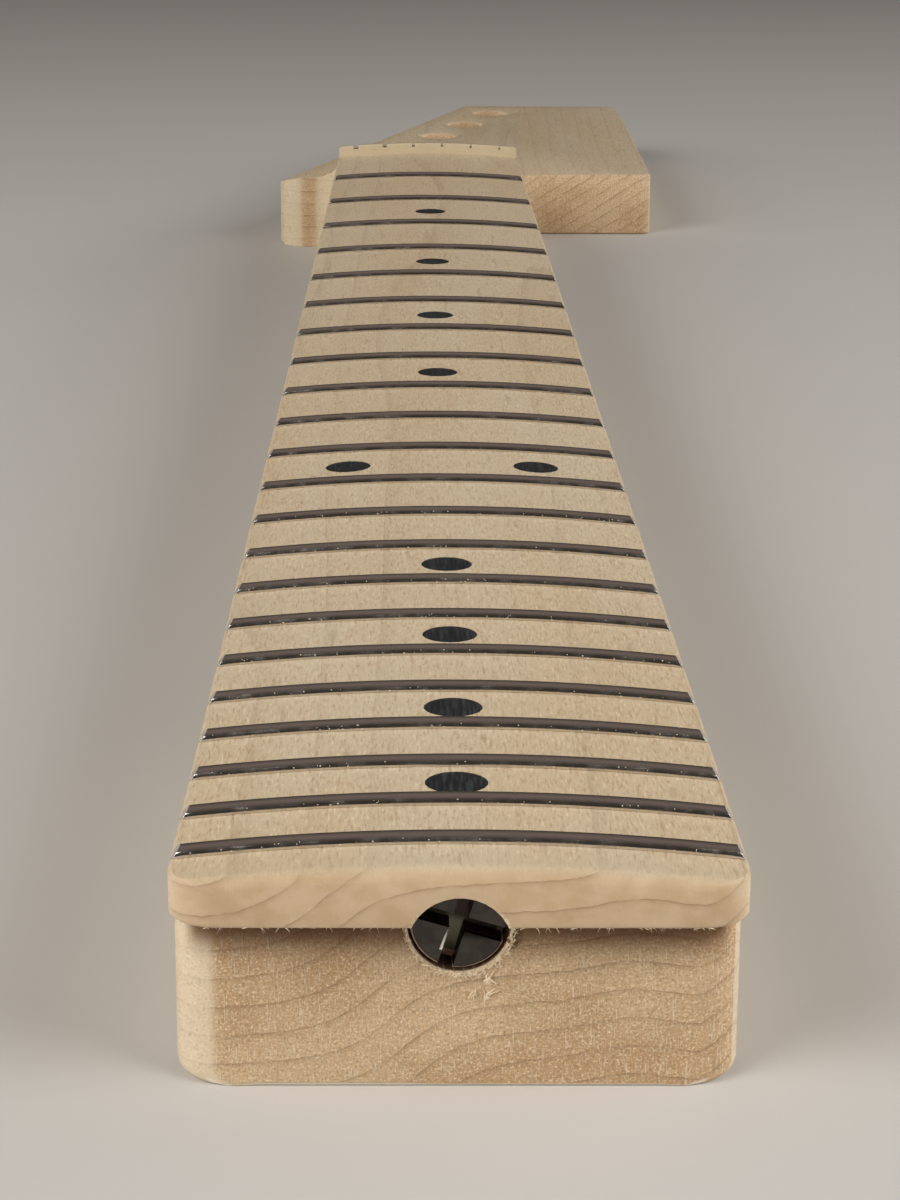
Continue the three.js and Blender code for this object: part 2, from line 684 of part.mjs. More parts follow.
function neckSolid(outer) {
  let neck = outer;
  const cut = (solid) => {
    neck = neck.subtract(solid);
  };
  for (let number = 1; number <= FRET_COUNT; number += 1) cut(fretSlot(number));
  const slotBack = NUT_Y + NUT_THICKNESS + 2 * SEAT_GAP;
  const slotReach = HALF_WIDTH_AT_LAST_FRET;
  cut(box(-slotReach, slotReach, NUT_Y, slotBack, NUT_SLOT_FLOOR_Z, CROWN_Z + CUT_CLEARANCE));
  for (const dot of frontDots()) {
    cut(toSolid(frontDotGeometry(dot, DOT_RADIUS + POCKET_GAP, CUT_CLEARANCE, DOT_DEPTH + POCKET_GAP)));
  }
  for (const dot of sideDots()) {
    const depth = SIDE_DOT_DEPTH + POCKET_GAP;
    cut(toSolid(sideDotGeometry(dot, SIDE_DOT_RADIUS + POCKET_GAP, CUT_CLEARANCE, depth)));
  }
  tunerHoles().forEach(cut);
  cut(rodBore(OVERHANG_END_Y, COUNTERBORE_FLOOR_Y - CUT_CLEARANCE, COUNTERBORE_R, COUNTERBORE_SIDES));
  cut(rodBore(COUNTERBORE_FLOOR_Y, CHANNEL_START_Y, ROD_HOLE_RADIUS));
  cut(channelSolid(CHANNEL_HALF_WIDTH, ROD_RADIUS + ROD_CLEARANCE));
  cut(rodBore(CHANNEL_END_Y, PLUG_BORE_START_Y, ROD_HOLE_RADIUS));
  cut(plugBar(PLUG_BORE_R, PLUG_BORE_START_Y));
  return neck;
}

// Scene graph

const guitarNeck = new THREE.Group();

function addPiece(name, geometry, material) {
  const mesh = new THREE.Mesh(geometry, material);
  mesh.name = name;
  guitarNeck.add(mesh);
}

const outerBody = neckBlank().add(headstockPaddle()).subtract(rampWaste());

addPiece('neck', toGeometry(neckSolid(outerBody)), maple);

const stripe = channelSolid(CHANNEL_HALF_WIDTH - STRIPE_GAP, -ROD_RADIUS - ROD_CLEARANCE);
addPiece('skunk_stripe', toGeometry(stripe.intersect(outerBody)), walnut);
addPiece('headstock_plug', toGeometry(plugBar(PLUG_R, PLUG_START_Y).intersect(outerBody)), walnut);

addPiece('truss_rod', roundBar(rodStations(), ROD_RADIUS, rodZ, ROD_SIDES), steel);
addPiece('truss_rod_anchor', toGeometry(rodAnchor()), steel);
addPiece('truss_rod_washer', toGeometry(rodWasher()), steel);
addPiece('truss_rod_nut', toGeometry(rodNut()), blackSteel);

for (let number = 1; number <= FRET_COUNT; number += 1) {
  addPiece(`fret_${String(number).padStart(2, '0')}`, fretGeometry(number), nickelSilver);
}

for (const dot of frontDots()) {
  addPiece(dot.name, frontDotGeometry(dot, DOT_RADIUS, 0, DOT_DEPTH), darkPlastic);
}

for (const dot of sideDots()) {
  addPiece(dot.name, sideDotGeometry(dot, SIDE_DOT_RADIUS, 0, SIDE_DOT_DEPTH), darkPlastic);
}

addPiece('string_nut', toGeometry(stringNut()), bone);

export default guitarNeck;
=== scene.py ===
# %% [markdown]
# A one-piece maple neck of an electric guitar, seen from its heel.
# The packed solids give every size and place. This lesson dresses them: it models the
# wood, frets, markers, nut and truss-rod nut as a maker would shape them, and gives
# each its finish. Lengths in the text are millimetres, and Blender's are metres.

# %% Load the packed solids
import json
import math
import random

import bmesh
import bpy
from mathutils import Matrix, Vector

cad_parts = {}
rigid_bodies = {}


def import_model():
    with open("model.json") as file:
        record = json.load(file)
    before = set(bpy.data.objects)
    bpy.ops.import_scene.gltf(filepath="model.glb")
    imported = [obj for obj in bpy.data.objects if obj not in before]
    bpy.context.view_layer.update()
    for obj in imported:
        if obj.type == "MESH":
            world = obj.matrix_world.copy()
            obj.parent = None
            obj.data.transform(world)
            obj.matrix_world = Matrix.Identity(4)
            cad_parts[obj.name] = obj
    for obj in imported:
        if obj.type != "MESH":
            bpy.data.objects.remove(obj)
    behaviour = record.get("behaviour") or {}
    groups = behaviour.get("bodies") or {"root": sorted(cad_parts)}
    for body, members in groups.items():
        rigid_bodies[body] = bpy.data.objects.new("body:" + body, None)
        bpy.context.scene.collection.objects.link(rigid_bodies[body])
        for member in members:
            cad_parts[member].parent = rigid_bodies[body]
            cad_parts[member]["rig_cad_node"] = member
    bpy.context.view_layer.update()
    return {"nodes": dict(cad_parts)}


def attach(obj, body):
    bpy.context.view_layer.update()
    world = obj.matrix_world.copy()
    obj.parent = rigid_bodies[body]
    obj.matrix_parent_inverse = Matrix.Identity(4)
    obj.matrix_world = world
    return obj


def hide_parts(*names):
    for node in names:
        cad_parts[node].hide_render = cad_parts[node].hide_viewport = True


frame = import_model()
bpy.ops.object.select_all(action="DESELECT")
MM = 0.001

# %% [markdown]
# The camera comes first, because every later choice is judged through it.
# It could be placed by eye, but a neck has twenty-two frets at known distances, so their
# heights in the photograph fix the lens, the place and the three angles all at once.
# The picture is upright, so Blender's sensor width is the height of the frame.

# %% Camera at the photograph's angle
CAMERA_PLACE = Vector((-5.396, -313.65, 132.14)) * MM
CAMERA_BELOW_HORIZON = 0.2883
CAMERA_TURN = 0.0156
CAMERA_ROLL = -0.0068
FOCAL_IN_FRAME_HEIGHTS = 2.53241
SENSOR_MM = 36
NEAREST_SEEN = 0.01

sin, cos = math.sin, math.cos
level = cos(CAMERA_BELOW_HORIZON)
drop = -sin(CAMERA_BELOW_HORIZON)
forward = Vector((sin(CAMERA_TURN) * level, cos(CAMERA_TURN) * level, drop))
right = Vector((cos(CAMERA_TURN), -sin(CAMERA_TURN), 0))
down = forward.cross(right)
picture_right = cos(CAMERA_ROLL) * right + sin(CAMERA_ROLL) * down
picture_down = cos(CAMERA_ROLL) * down - sin(CAMERA_ROLL) * right

bpy.ops.object.camera_add()
camera = bpy.context.object
camera.name = "heel_view"
turned = Matrix((picture_right, -picture_down, -forward)).transposed().to_4x4()
camera.matrix_world = Matrix.Translation(CAMERA_PLACE) @ turned
camera.data.sensor_width = SENSOR_MM
camera.data.lens = FOCAL_IN_FRAME_HEIGHTS * SENSOR_MM
camera.data.clip_start = NEAREST_SEEN
bpy.context.scene.camera = camera
print("lens:", round(camera.data.lens, 2), "mm")

# %% [markdown]
# Shader maths reads best as arithmetic. This small class wraps a socket, so that
# 1 - mask or place * 3 adds the Math node it stands for. Every other kind of node
# comes from its one method, which takes settings first and then values or links.

# %% Shader expressions
class Flow:
    """A socket of a material's nodes. Arithmetic on it adds Math nodes."""

    def __init__(self, tree, socket=None):
        self.tree = tree
        self.socket = socket

    def node(self, kind, sockets=None, settings=None, output=0):
        """Adds a node: its settings first, then the values or links of its sockets."""
        made = self.tree.nodes.new(kind)
        for name, value in (settings or {}).items():
            setattr(made, name, value)
        for name, value in (sockets or {}).items():
            if isinstance(value, Flow):
                self.tree.links.new(value.socket, made.inputs[name])
            else:
                made.inputs[name].default_value = value
        return Flow(self.tree, made.outputs[output])

    def math(self, operation, *values):
        return self.node("ShaderNodeMath", dict(enumerate(values)), {"operation": operation})

    def __add__(self, other):
        return self.math("ADD", self, other)

    def __radd__(self, other):
        return self.math("ADD", other, self)

    def __sub__(self, other):
        return self.math("SUBTRACT", self, other)

    def __rsub__(self, other):
        return self.math("SUBTRACT", other, self)

    def __mul__(self, other):
        return self.math("MULTIPLY", self, other)

    def __rmul__(self, other):
        return self.math("MULTIPLY", other, self)

    def __truediv__(self, other):
        return self.math("DIVIDE", self, other)

    def __pow__(self, other):
        return self.math("POWER", self, other)


print("operators:", [name for name in vars(Flow) if name.startswith("__r")])

# %% [markdown]
# The same few moves come back in every finish: noise stretched along the grain, a soft
# step between two values, a blend of two colours, and height turned into a bump. Every
# finish starts from the place on the piece itself, so that its pattern rides with it.

# %% Moves that the finishes share
def stretched(place, size_mm):
    """A point divided by a size along each axis, so that a noise of scale 1 fits it."""
    scale = tuple(1 / (size * MM) for size in size_mm)
    return place.node("ShaderNodeVectorMath", {0: place, 1: scale}, {"operation": "MULTIPLY"})


def speckle(place, size_mm, detail=2.0, roughness=0.5):
    """Noise from 0 to 1 whose blotches have that size in millimetres along X, Y and Z."""
    point = stretched(place, size_mm)
    values = {"Vector": point, "Scale": 1.0, "Detail": detail, "Roughness": roughness}
    return place.node("ShaderNodeTexNoise", values)


def step(value, low, high):
    """0 below low, 1 above high, and a smooth rise between them."""
    values = {"Value": value, "From Min": low, "From Max": high}
    return value.node("ShaderNodeMapRange", values, {"interpolation_type": "SMOOTHSTEP"})


def blend(mask, first, second):
    """The first colour where mask is 0 and the second where it is 1."""
    values = {0: mask, 6: first, 7: second}
    return mask.node("ShaderNodeMix", values, {"data_type": "RGBA"}, output=2)


def shade(red, green, blue):
    return (red, green, blue, 1.0)


def bumped(height, depth_mm):
    """A normal from a height of 0 to 1 that stands for that depth."""
    values = {"Strength": 1.0, "Distance": depth_mm * MM, "Height": height}
    return height.node("ShaderNodeBump", values)


def in_mm(place):
    """The X, Y and Z of a place as three flows in millimetres."""
    parts = [place.node("ShaderNodeSeparateXYZ", {0: place}, output=axis) for axis in range(3)]
    return [part / MM for part in parts]


print("a blotch 2 mm wide is the noise scaled by", 1 / (2 * MM))

# %% [markdown]
# Each finish is one Principled shader. What is the same all over is set on its sockets
# as a plain value, and only what changes over the surface is linked from nodes.

# %% A finish and its links
def new_finish(name, **constants):
    """A material, its shader with the fixed values set, and the place that patterns read."""
    finish = bpy.data.materials.new(name)
    finish.use_nodes = True
    shader = finish.node_tree.nodes["Principled BSDF"]
    for socket, value in constants.items():
        shader.inputs[socket.replace("_", " ")].default_value = value
    place = Flow(finish.node_tree).node("ShaderNodeTexCoord", output="Object")
    return finish, shader, place


def drive(shader, **links):
    """Links flows to the shader's sockets."""
    for socket, flow in links.items():
        flow.tree.links.new(flow.socket, shader.inputs[socket.replace("_", " ")])


print("finishes so far:", len(bpy.data.materials))

# %% [markdown]
# Maple is a pale, close wood, and each year leaves it one thin brown line. A flat wood
# picture would break at every edge, so the rings are a field in space instead, the same
# for all faces: a point's height less the curve that the rings follow across the neck,
# which bends down on the bass side. The part left over after whole years is the ring.

# %% Maple: the growth rings
RING_WIDTH = 3.012
RING_START = 4.487
RING_BEND = 4.44
RING_BEND_X = -7.985
RING_BEND_REACH = 7.247
RING_SHEAR = 0.456
RING_SHEAR_Z = 10
RING_TILT = 0.035
RING_HUMP = 0.985
RING_HUMP_X = 17
RING_HUMP_REACH = 5
RING_KINK = 0.57
RING_KINK_X = 24
YEARS_BELOW = 20.0
WANDER = 6.0
WANDER_AT_HEEL = 0.8
WANDER_Y = (-20.0, 120.0)
WOBBLE = 0.5


def maple_rings(place):
    """How far a point lies through its year's growth, from 0 to 1."""
    x, y, z = in_mm(place)
    slow = speckle(place, (30, 240, 30), 1.0) - 0.5
    wobble = speckle(place, (1.9, 60, 1.9), 4.0, 0.62) - 0.5
    reach = (x + RING_SHEAR * (z - RING_SHEAR_Z) - RING_BEND_X) / RING_BEND_REACH
    turn = x.math("TANH", reach)
    hump = x.math("EXPONENT", -1.0 * ((x - RING_HUMP_X) / RING_HUMP_REACH) ** 2.0)
    kink = x.math("MAXIMUM", x - RING_KINK_X, 0.0)
    curve = RING_BEND * turn + RING_TILT * x + RING_HUMP * hump + RING_KINK * kink
    away = step(y, *WANDER_Y)
    height = z - curve + away * slow * WANDER + slow * WANDER_AT_HEEL + wobble * WOBBLE
    return x.math("FRACT", (height - RING_START) / RING_WIDTH + YEARS_BELOW)


print("ring spacing:", RING_WIDTH, "mm")

# %% [markdown]
# Two cuts of one wood look quite different. A cut along it shows short flecks and
# hardly any line. A saw that cuts across it, as at the heel, leaves fuzzy pale fibres,
# and shows fine rays and every ring. So each cut is a function of its own, which gives
# a colour and a relief, and the finish mixes them by the way that a face looks.

# %% Maple: its two cuts
FACE_MAPLE = shade(0.670, 0.565, 0.405)
FACE_MAPLE_WARM = shade(0.645, 0.515, 0.345)
END_MAPLE = shade(0.620, 0.440, 0.262)
END_MAPLE_DARK = shade(0.520, 0.335, 0.180)
FINE_END = shade(0.620, 0.490, 0.345)
FINE_END_DARK = shade(0.500, 0.375, 0.240)
RING_BROWN = shade(0.235, 0.135, 0.060)
FIBRE_PALE = shade(0.860, 0.720, 0.510)


def long_grain(place, patches, ring, worn):
    """Colour of wood cut along the grain, and how deep its flecks and pores lie."""
    face = blend(step(patches, 0.3, 0.7), FACE_MAPLE, FACE_MAPLE_WARM)
    streak = speckle(place, (0.25, 1.8, 0.25), 3.0, 0.65)
    fleck = step(streak, 0.53, 0.68)
    glint = step(streak, 0.46, 0.30)
    face = blend(fleck * (0.70 - 0.45 * worn), face, END_MAPLE_DARK)
    face = blend(glint * (0.70 - 0.35 * worn), face, FIBRE_PALE)
    pore = step(speckle(place, (0.8, 9, 0.8), 1.0), 0.64, 0.76)
    face = blend(pore * 0.20, face, RING_BROWN)
    return blend(ring * 0.20, face, RING_BROWN), fleck * -0.3 + pore * -0.4


def cut_grain(place, patches, ring, rough):
    """Colour of wood cut across the grain where rough is 1, and where it is sanded fine."""
    end = blend(step(patches, 0.35, 0.65), END_MAPLE, END_MAPLE_DARK)
    fuzz = speckle(place, (0.25, 0.9, 0.25), 3.0, 0.75)
    end = blend(step(fuzz, 0.53, 0.66) * rough * 0.90, end, FIBRE_PALE)
    end = blend(step(fuzz, 0.48, 0.32) * rough * 0.60, end, RING_BROWN)
    ray = step(speckle(place, (0.17, 3.0, 1.7)), 0.56, 0.70)
    end = blend(ray * rough * 0.60, end, FIBRE_PALE)
    crossing = step(speckle(place, (1.3, 3.0, 0.15)), 0.58, 0.72)
    end = blend(crossing * rough * 0.35, end, FIBRE_PALE)
    cloud = speckle(place, (0.8, 3, 0.8))
    end = blend(step(cloud, 0.5, 0.8) * 0.3, end, END_MAPLE_DARK)
    blotch = step(speckle(place, (3.0, 9, 2.4)), 0.35, 0.65)
    end = blend((1 - rough) * 0.60, end, blend(blotch, FINE_END_DARK, FINE_END))
    end = blend(ring * 0.60, end, RING_BROWN)
    return end, (fuzz + ray * 0.7) * rough - ring * 0.8


print("maple shades:", FACE_MAPLE[:3], END_MAPLE[:3])

# %% [markdown]
# The heel also shows how it was made. Its rounded corners are sanded, and their pale
# tint is partly painted light. Its lower edge gets a painted highlight, the cutter left
# the bore burnt and its rim frayed, and a painted shadow darkens the nook under the
# overhang. These could be painted on by hand, but a mark that is a product of soft steps
# along the axes stays where it belongs on the wood. Each pair below is where such a step
# begins and where it is full: in mm along an axis, in mm out from the bore's wall, or by
# the face's turn, which is 1 where a face looks straight along the neck.

# %% Maple: marks of the making, with painted light and shade
ROD_AXIS_Z = 17.4
BORE_R = 5.1
SANDED_AND_LIT_PALE = shade(0.800, 0.680, 0.520)
EDGE_HIGHLIGHT = shade(0.930, 0.830, 0.680)
NOOK_SHADOW_BROWN = shade(0.125, 0.052, 0.012)
BORE_BROWN = shade(0.070, 0.028, 0.012)
SANDED_LIT_Y = (-30.0, -34.0)
SANDED_LIT_TURN = (0.05, 0.5)
EDGE_Y = (-37.3, -37.6)
EDGE_TURN = (0.97, 0.85)
EDGE_Z = (0.9, 0.4)
RIM_OUT = (0.50, 0.12)
RIM_Y = (-37.0, -38.0)
RIM_LOW_RIGHT = (-1.0, 4.0)
BURNT_OUT = (0.04, -0.02)
BURNT_FRONT_Y = (-37.95, -37.6)
BURNT_BACK_Y = (-8.0, -12.0)
NOOK_Z = (11.5, 17.0)
NOOK_TOP_Z = (19.6, 19.4)
NOOK_FRONT_Y = (-38.6, -37.9)
NOOK_BACK_Y = (-36.0, -37.5)


def off_the_rod(x, z):
    """How far a point lies from the rod's axis, in mm."""
    return x.math("SQRT", x * x + (z - ROD_AXIS_Z) * (z - ROD_AXIS_Z))


def sanded_and_lit_corners(colour, y, z, turn, ring, soft):
    """Sanded corners, paled more as painted light, where soft is 1, and a painted highlight on the
    lower edge.
    """
    # Partly sanding, partly painted light: the rounded corners are painted paler, as where a side
    # lamp falls on them.
    sanded_and_lit = soft * step(y, *SANDED_LIT_Y) * step(turn, *SANDED_LIT_TURN)
    colour = blend(sanded_and_lit * 0.30, colour, SANDED_AND_LIT_PALE)
    colour = blend(ring * sanded_and_lit * 0.08, colour, RING_BROWN)
    # Painted highlight: the lower bevel of the heel's end is painted a pale line.
    edge_highlight = step(y, *EDGE_Y) * step(turn, *EDGE_TURN) * step(z, *EDGE_Z)
    return blend(edge_highlight * 0.9, colour, EDGE_HIGHLIGHT)


def bore_rim_and_nook_shadow(colour, place, x, y, z):
    """The frayed rim and burnt wall of the bore, and a painted shadow in the nook under the
    overhang.
    """
    out = off_the_rod(x, z) - BORE_R
    rim = step(out, *RIM_OUT) * step(y, *RIM_Y)
    frayed = step(speckle(place, (0.3, 0.6, 0.3)), 0.38, 0.56)
    low_right = step(x - (z - ROD_AXIS_Z), *RIM_LOW_RIGHT)
    colour = blend(rim * frayed * (0.25 + 0.75 * low_right), colour, FIBRE_PALE)
    burnt = step(out, *BURNT_OUT) * step(y, *BURNT_FRONT_Y) * step(y, *BURNT_BACK_Y)
    colour = blend(burnt * 0.95, colour, BORE_BROWN)
    # Painted shadow: the heel's end just under the overhang is painted dark brown, darkest near its
    # edge.
    under = step(z, *NOOK_Z) ** 2.2 * step(z, *NOOK_TOP_Z)
    nook_shadow = under * step(y, *NOOK_FRONT_Y) * step(y, *NOOK_BACK_Y) * (1 - rim)
    return blend(nook_shadow * 0.96, colour, NOOK_SHADOW_BROWN)


print("burnt from", BURNT_BACK_Y[0], "to", BURNT_FRONT_Y[0], "mm")

# %% [markdown]
# Now the maple is put together. The heel and all behind it is sawn and left rough, so
# its end grain stops short at a corner, on the bass side sooner than on the treble
# side. Only the overhang's end is sanded fine, and there one cut fades into the other.

# %% Maple: the whole finish
LATE_WOOD = 13.0
SAWN_Y = (-42.0, -39.5)
SAWN_TURN = (0.950, 0.998)
SAWN_LEAN_X = (-5.0, 5.0)
SAWN_LEAN = 0.45
FINE_TURN = (0.05, 0.95)
OVERHANG_WORN_Y = (-38.5, -43.0)


def maple_finish():
    finish, shader, place = new_finish("sanded_maple", Metallic=0.0, IOR=1.45)
    facing = place.node("ShaderNodeTexCoord", output="Normal")
    x, y, z = in_mm(place)
    year = maple_rings(place)
    uneven = step(speckle(place, (2.5, 25, 2.5), 3.0), 0.35, 0.62)
    ring = year ** LATE_WOOD * (0.40 + 0.60 * uneven) + 0.16 * year ** 3.0
    patches = speckle(place, (14, 90, 9))

    along = facing.node("ShaderNodeSeparateXYZ", {0: facing}, output="Y")
    turn = along.math("ABSOLUTE", along)
    sawn = step(y, *SAWN_Y)
    crisp = step(turn + step(x, *SAWN_LEAN_X) * SAWN_LEAN, *SAWN_TURN)
    end_grain = sawn * crisp + (1 - sawn) * step(turn, *FINE_TURN)
    rough = sawn * 0.85 + 0.15

    face, face_relief = long_grain(place, patches, ring, step(y, *OVERHANG_WORN_Y))
    end, end_relief = cut_grain(place, patches, ring, rough)
    colour = blend(end_grain, face, end)
    colour = sanded_and_lit_corners(colour, y, z, turn, ring, sawn * (1 - crisp))
    colour = bore_rim_and_nook_shadow(colour, place, x, y, z)
    relief = face_relief * (1 - end_grain) + end_relief * end_grain
    gloss = 0.50 + 0.20 * end_grain * rough
    drive(shader, Base_Color=colour, Roughness=gloss, Normal=bumped(relief, 0.09))
    return finish


maple = maple_finish()
print("maple nodes:", len(maple.node_tree.nodes))

# %% [markdown]
# The strip that closes the rod channel, and the plug in the headstock, are walnut: dark
# brown, with long open pores. The same stretched noise gives both, along the neck.

# %% Walnut
WALNUT = shade(0.090, 0.045, 0.022)
WALNUT_LIGHT = shade(0.185, 0.100, 0.052)
WALNUT_PORE = shade(0.022, 0.011, 0.006)


def walnut_finish():
    finish, shader, place = new_finish("oiled_walnut", Metallic=0.0, IOR=1.45)
    bands = speckle(place, (1.5, 70, 1.5), 3.0, 0.6)
    colour = blend(step(bands, 0.3, 0.7), WALNUT, WALNUT_LIGHT)
    pores = step(speckle(place, (0.22, 4.5, 0.22)), 0.60, 0.70)
    colour = blend(pores * 0.8, colour, WALNUT_PORE)
    gloss = 0.42 + 0.2 * pores
    drive(shader, Base_Color=colour, Roughness=gloss, Normal=bumped(1 - pores, 0.05))
    return finish


walnut = walnut_finish()
print("walnut nodes:", len(walnut.node_tree.nodes))

# %% [markdown]
# Metal is mostly what it mirrors, so its life is in the roughness. Fret wire is drawn
# and then polished along its length, and a turned part has fine rings round its axis.
# One function gives both from a colour, a roughness and the size of their scratches.

# %% Bright metals
WIRE_BRIGHT = shade(0.800, 0.755, 0.715)
WIRE_WORN = shade(0.700, 0.655, 0.610)
STEEL_BRIGHT = shade(0.420, 0.420, 0.425)
STEEL_WORN = shade(0.340, 0.325, 0.310)


def metal_finish(name, colour, worn, roughness, scratch_mm, depth_mm):
    """A metal with scratches of that size along X, Y and Z, and a few worn patches."""
    finish, shader, place = new_finish(name, Metallic=1.0)
    scratches = speckle(place, scratch_mm, 3.0, 0.6)
    smears = speckle(place, (2.6, 2.6, 2.6), 3.0, 0.6)
    surface = blend(step(smears, 0.50, 0.72), colour, worn)
    gloss = roughness + 0.16 * step(smears, 0.35, 0.75) + 0.10 * step(scratches, 0.45, 0.8)
    relief = bumped(scratches, depth_mm)
    drive(shader, Base_Color=surface, Roughness=gloss, Normal=relief)
    return finish


fret_wire = metal_finish(
    "polished_fret_wire", WIRE_BRIGHT, WIRE_WORN,
    roughness=0.09, scratch_mm=(7, 0.10, 0.10), depth_mm=0.003,
)
turned_steel = metal_finish(
    "turned_rod_steel", STEEL_BRIGHT, STEEL_WORN,
    roughness=0.28, scratch_mm=(0.3, 0.06, 0.3), depth_mm=0.004,
)
print("metals:", fret_wire.name, turned_steel.name)

# %% [markdown]
# One bright line on a lower side of the upright slot is a painted highlight, a glint on
# the slot's edge. It is measured across and along that slot, which is turned round the
# rod's axis, so the line turns with the slot. Each pair is again where a step begins and
# where it is full, in mm.

# %% The painted glint on the driver's slot
DRIVER_SLOT_TURN = math.radians(16.5)
GLINT_INNER_END = (-0.7, -2.2)
GLINT_OUTER_END = (-3.35, -3.15)
GLINT_ASIDE = (0.06, -0.04)
GLINT_FROM_MIDDLE = 0.80
GLINT_LEAN = 0.07


def painted_glint_line(x, above):
    """The painted highlight, a bright line on one lower side of the upright slot."""
    across = cos(DRIVER_SLOT_TURN) * x - sin(DRIVER_SLOT_TURN) * above
    along = cos(DRIVER_SLOT_TURN) * above + sin(DRIVER_SLOT_TURN) * x
    aside = x.math("ABSOLUTE", across + GLINT_FROM_MIDDLE) + GLINT_LEAN * along
    length = step(along, *GLINT_INNER_END) * step(along, *GLINT_OUTER_END)
    return step(aside, *GLINT_ASIDE) * length


print("burr:", round(GLINT_INNER_END[0] - GLINT_OUTER_END[0], 2), "mm long")

# %% [markdown]
# The nut's skin is black oxide, a thin dark skin. Its face is polished by the driver. Its
# slots are painted near black from the axis up, a painted shade where the overhang shades
# them, and their floor below it is bare steel painted a lighter olive grey as painted
# light. Its rim is worn, and it and the lower slots' ends are painted pale pink, a painted
# reflection of the warm wood. All of it follows from the place on the nut: how far behind
# its face, how far over its axis and how far out from its rim.

# %% Blackened nut
NUT_FACE_Y = -37.7
NUT_RIM_R = 4.62
OXIDE = shade(0.060, 0.052, 0.048)
OXIDE_LIGHT = shade(0.082, 0.075, 0.062)
UPPER_SLOT_SHADE = shade(0.080, 0.050, 0.038)
SLOT_FLOOR_LIT_GREY = shade(0.300, 0.285, 0.200)
RIM_STEEL_REFLECTION = shade(0.950, 0.740, 0.640)
GLINT_WHITE = shade(0.990, 0.980, 0.920)
SHADE_BEHIND = (0.25, 0.9)
SHADE_OVER_AXIS = (-1.3, -0.1)
LIT_FLOOR_BEHIND = (2.6, 2.9)
WORN_FROM_RIM = (-0.04, 0.10)
SLOT_END_FROM_RIM = (-0.50, -0.35)
GLINT_BEHIND = (0.3, 0.1)


def nut_finish():
    finish, shader, place = new_finish("blackened_nut_steel", Metallic=1.0)
    x, y, z = in_mm(place)
    behind = y - NUT_FACE_Y
    above = z - ROD_AXIS_Z
    from_rim = off_the_rod(x, z) - NUT_RIM_R
    smears = speckle(place, (1.6, 1.6, 1.6), 3.0, 0.6)
    colour = blend(step(smears, 0.4, 0.7), OXIDE, OXIDE_LIGHT)
    # Painted shade: the slots are painted near black from the axis up, where the overhang shades
    # them.
    high = step(above + 0.3 * x, *SHADE_OVER_AXIS)
    slot_shade = step(behind, *SHADE_BEHIND) * high
    colour = blend(slot_shade, colour, UPPER_SLOT_SHADE)
    # Painted light: below the axis the slots' floor is painted a lighter olive grey, as where light
    # reaches it.
    lit_slot_floor = step(behind, *LIT_FLOOR_BEHIND) * (1 - high)
    colour = blend(lit_slot_floor, colour, SLOT_FLOOR_LIT_GREY)
    # Partly wear, partly painted reflection: the rim, less over the axis, and the lower slots' ends
    # are painted pale pink for the warm wood they mirror.
    worn = step(from_rim + 0.3 * (smears - 0.5), *WORN_FROM_RIM)
    slot_end_highlight = lit_slot_floor * step(from_rim, *SLOT_END_FROM_RIM)
    worn_rim_and_reflection = x.math("MAXIMUM", worn * (1 - high * 0.7), slot_end_highlight)
    colour = blend(worn_rim_and_reflection, colour, RIM_STEEL_REFLECTION)
    # Painted highlight: a white glint on one lower edge of the upright slot.
    glint_line = painted_glint_line(x, above) * step(behind, *GLINT_BEHIND)
    colour = blend(glint_line, colour, GLINT_WHITE)
    gloss = 0.14 + 0.12 * smears + 0.35 * slot_shade + 0.30 * lit_slot_floor + 0.25 * worn_rim_and_reflection
    dull = x.math("MAXIMUM", slot_shade * 0.8, slot_end_highlight)
    matt = x.math("MAXIMUM", x.math("MAXIMUM", worn_rim_and_reflection * 0.6, glint_line), dull)
    relief = bumped(smears, 0.004)
    drive(shader, Base_Color=colour, Metallic=1 - matt, Roughness=gloss, Normal=relief)
    return finish


black_steel = nut_finish()
print("nut nodes:", len(black_steel.node_tree.nodes))

# %% [markdown]
# The dots are dark plastic, sanded flush with the board, so they keep faint streaks
# along the neck. The string nut is bone, cream with thin darker threads.

# %% Plastic and bone
DOT_SLATE = shade(0.010, 0.012, 0.014)
DOT_SLATE_LIGHT = shade(0.038, 0.045, 0.048)
BONE = shade(0.620, 0.530, 0.370)
BONE_DARK = shade(0.550, 0.450, 0.300)
BONE_THREAD = shade(0.420, 0.310, 0.180)


def dot_finish():
    finish, shader, place = new_finish("slate_marker_plastic", Metallic=0.0, IOR=1.42)
    streak = speckle(place, (0.22, 3.5, 0.22), 2.0, 0.6)
    cloud = speckle(place, (1.6, 1.6, 1.6))
    colour = blend(step(streak, 0.42, 0.72), DOT_SLATE, DOT_SLATE_LIGHT)
    gloss = 0.40 + 0.22 * cloud + 0.12 * streak
    drive(shader, Base_Color=colour, Roughness=gloss, Normal=bumped(streak, 0.012))
    return finish


def bone_finish():
    finish, shader, place = new_finish("polished_bone", Metallic=0.0, IOR=1.52)
    threads = step(speckle(place, (2.4, 0.18, 0.18)), 0.58, 0.72)
    cloud = speckle(place, (3, 3, 3))
    colour = blend(threads * 0.35, blend(cloud, BONE, BONE_DARK), BONE_THREAD)
    gloss = 0.26 + 0.14 * cloud
    drive(shader, Base_Color=colour, Roughness=gloss, Normal=bumped(threads * -1.0, 0.02))
    return finish


dot_plastic = dot_finish()
bone = bone_finish()
print("made:", dot_plastic.name, bone.name)

# %% [markdown]
# A packed solid arrives as loose triangles with shading of their own. To work on its
# shape as a whole, a copy of it is joined at its corners and that shading is cleared.
# The copy then stands for the solid and rides on its body.

# %% Picking, copying and seating pieces
MERGE_WITHIN = 0.002 * MM


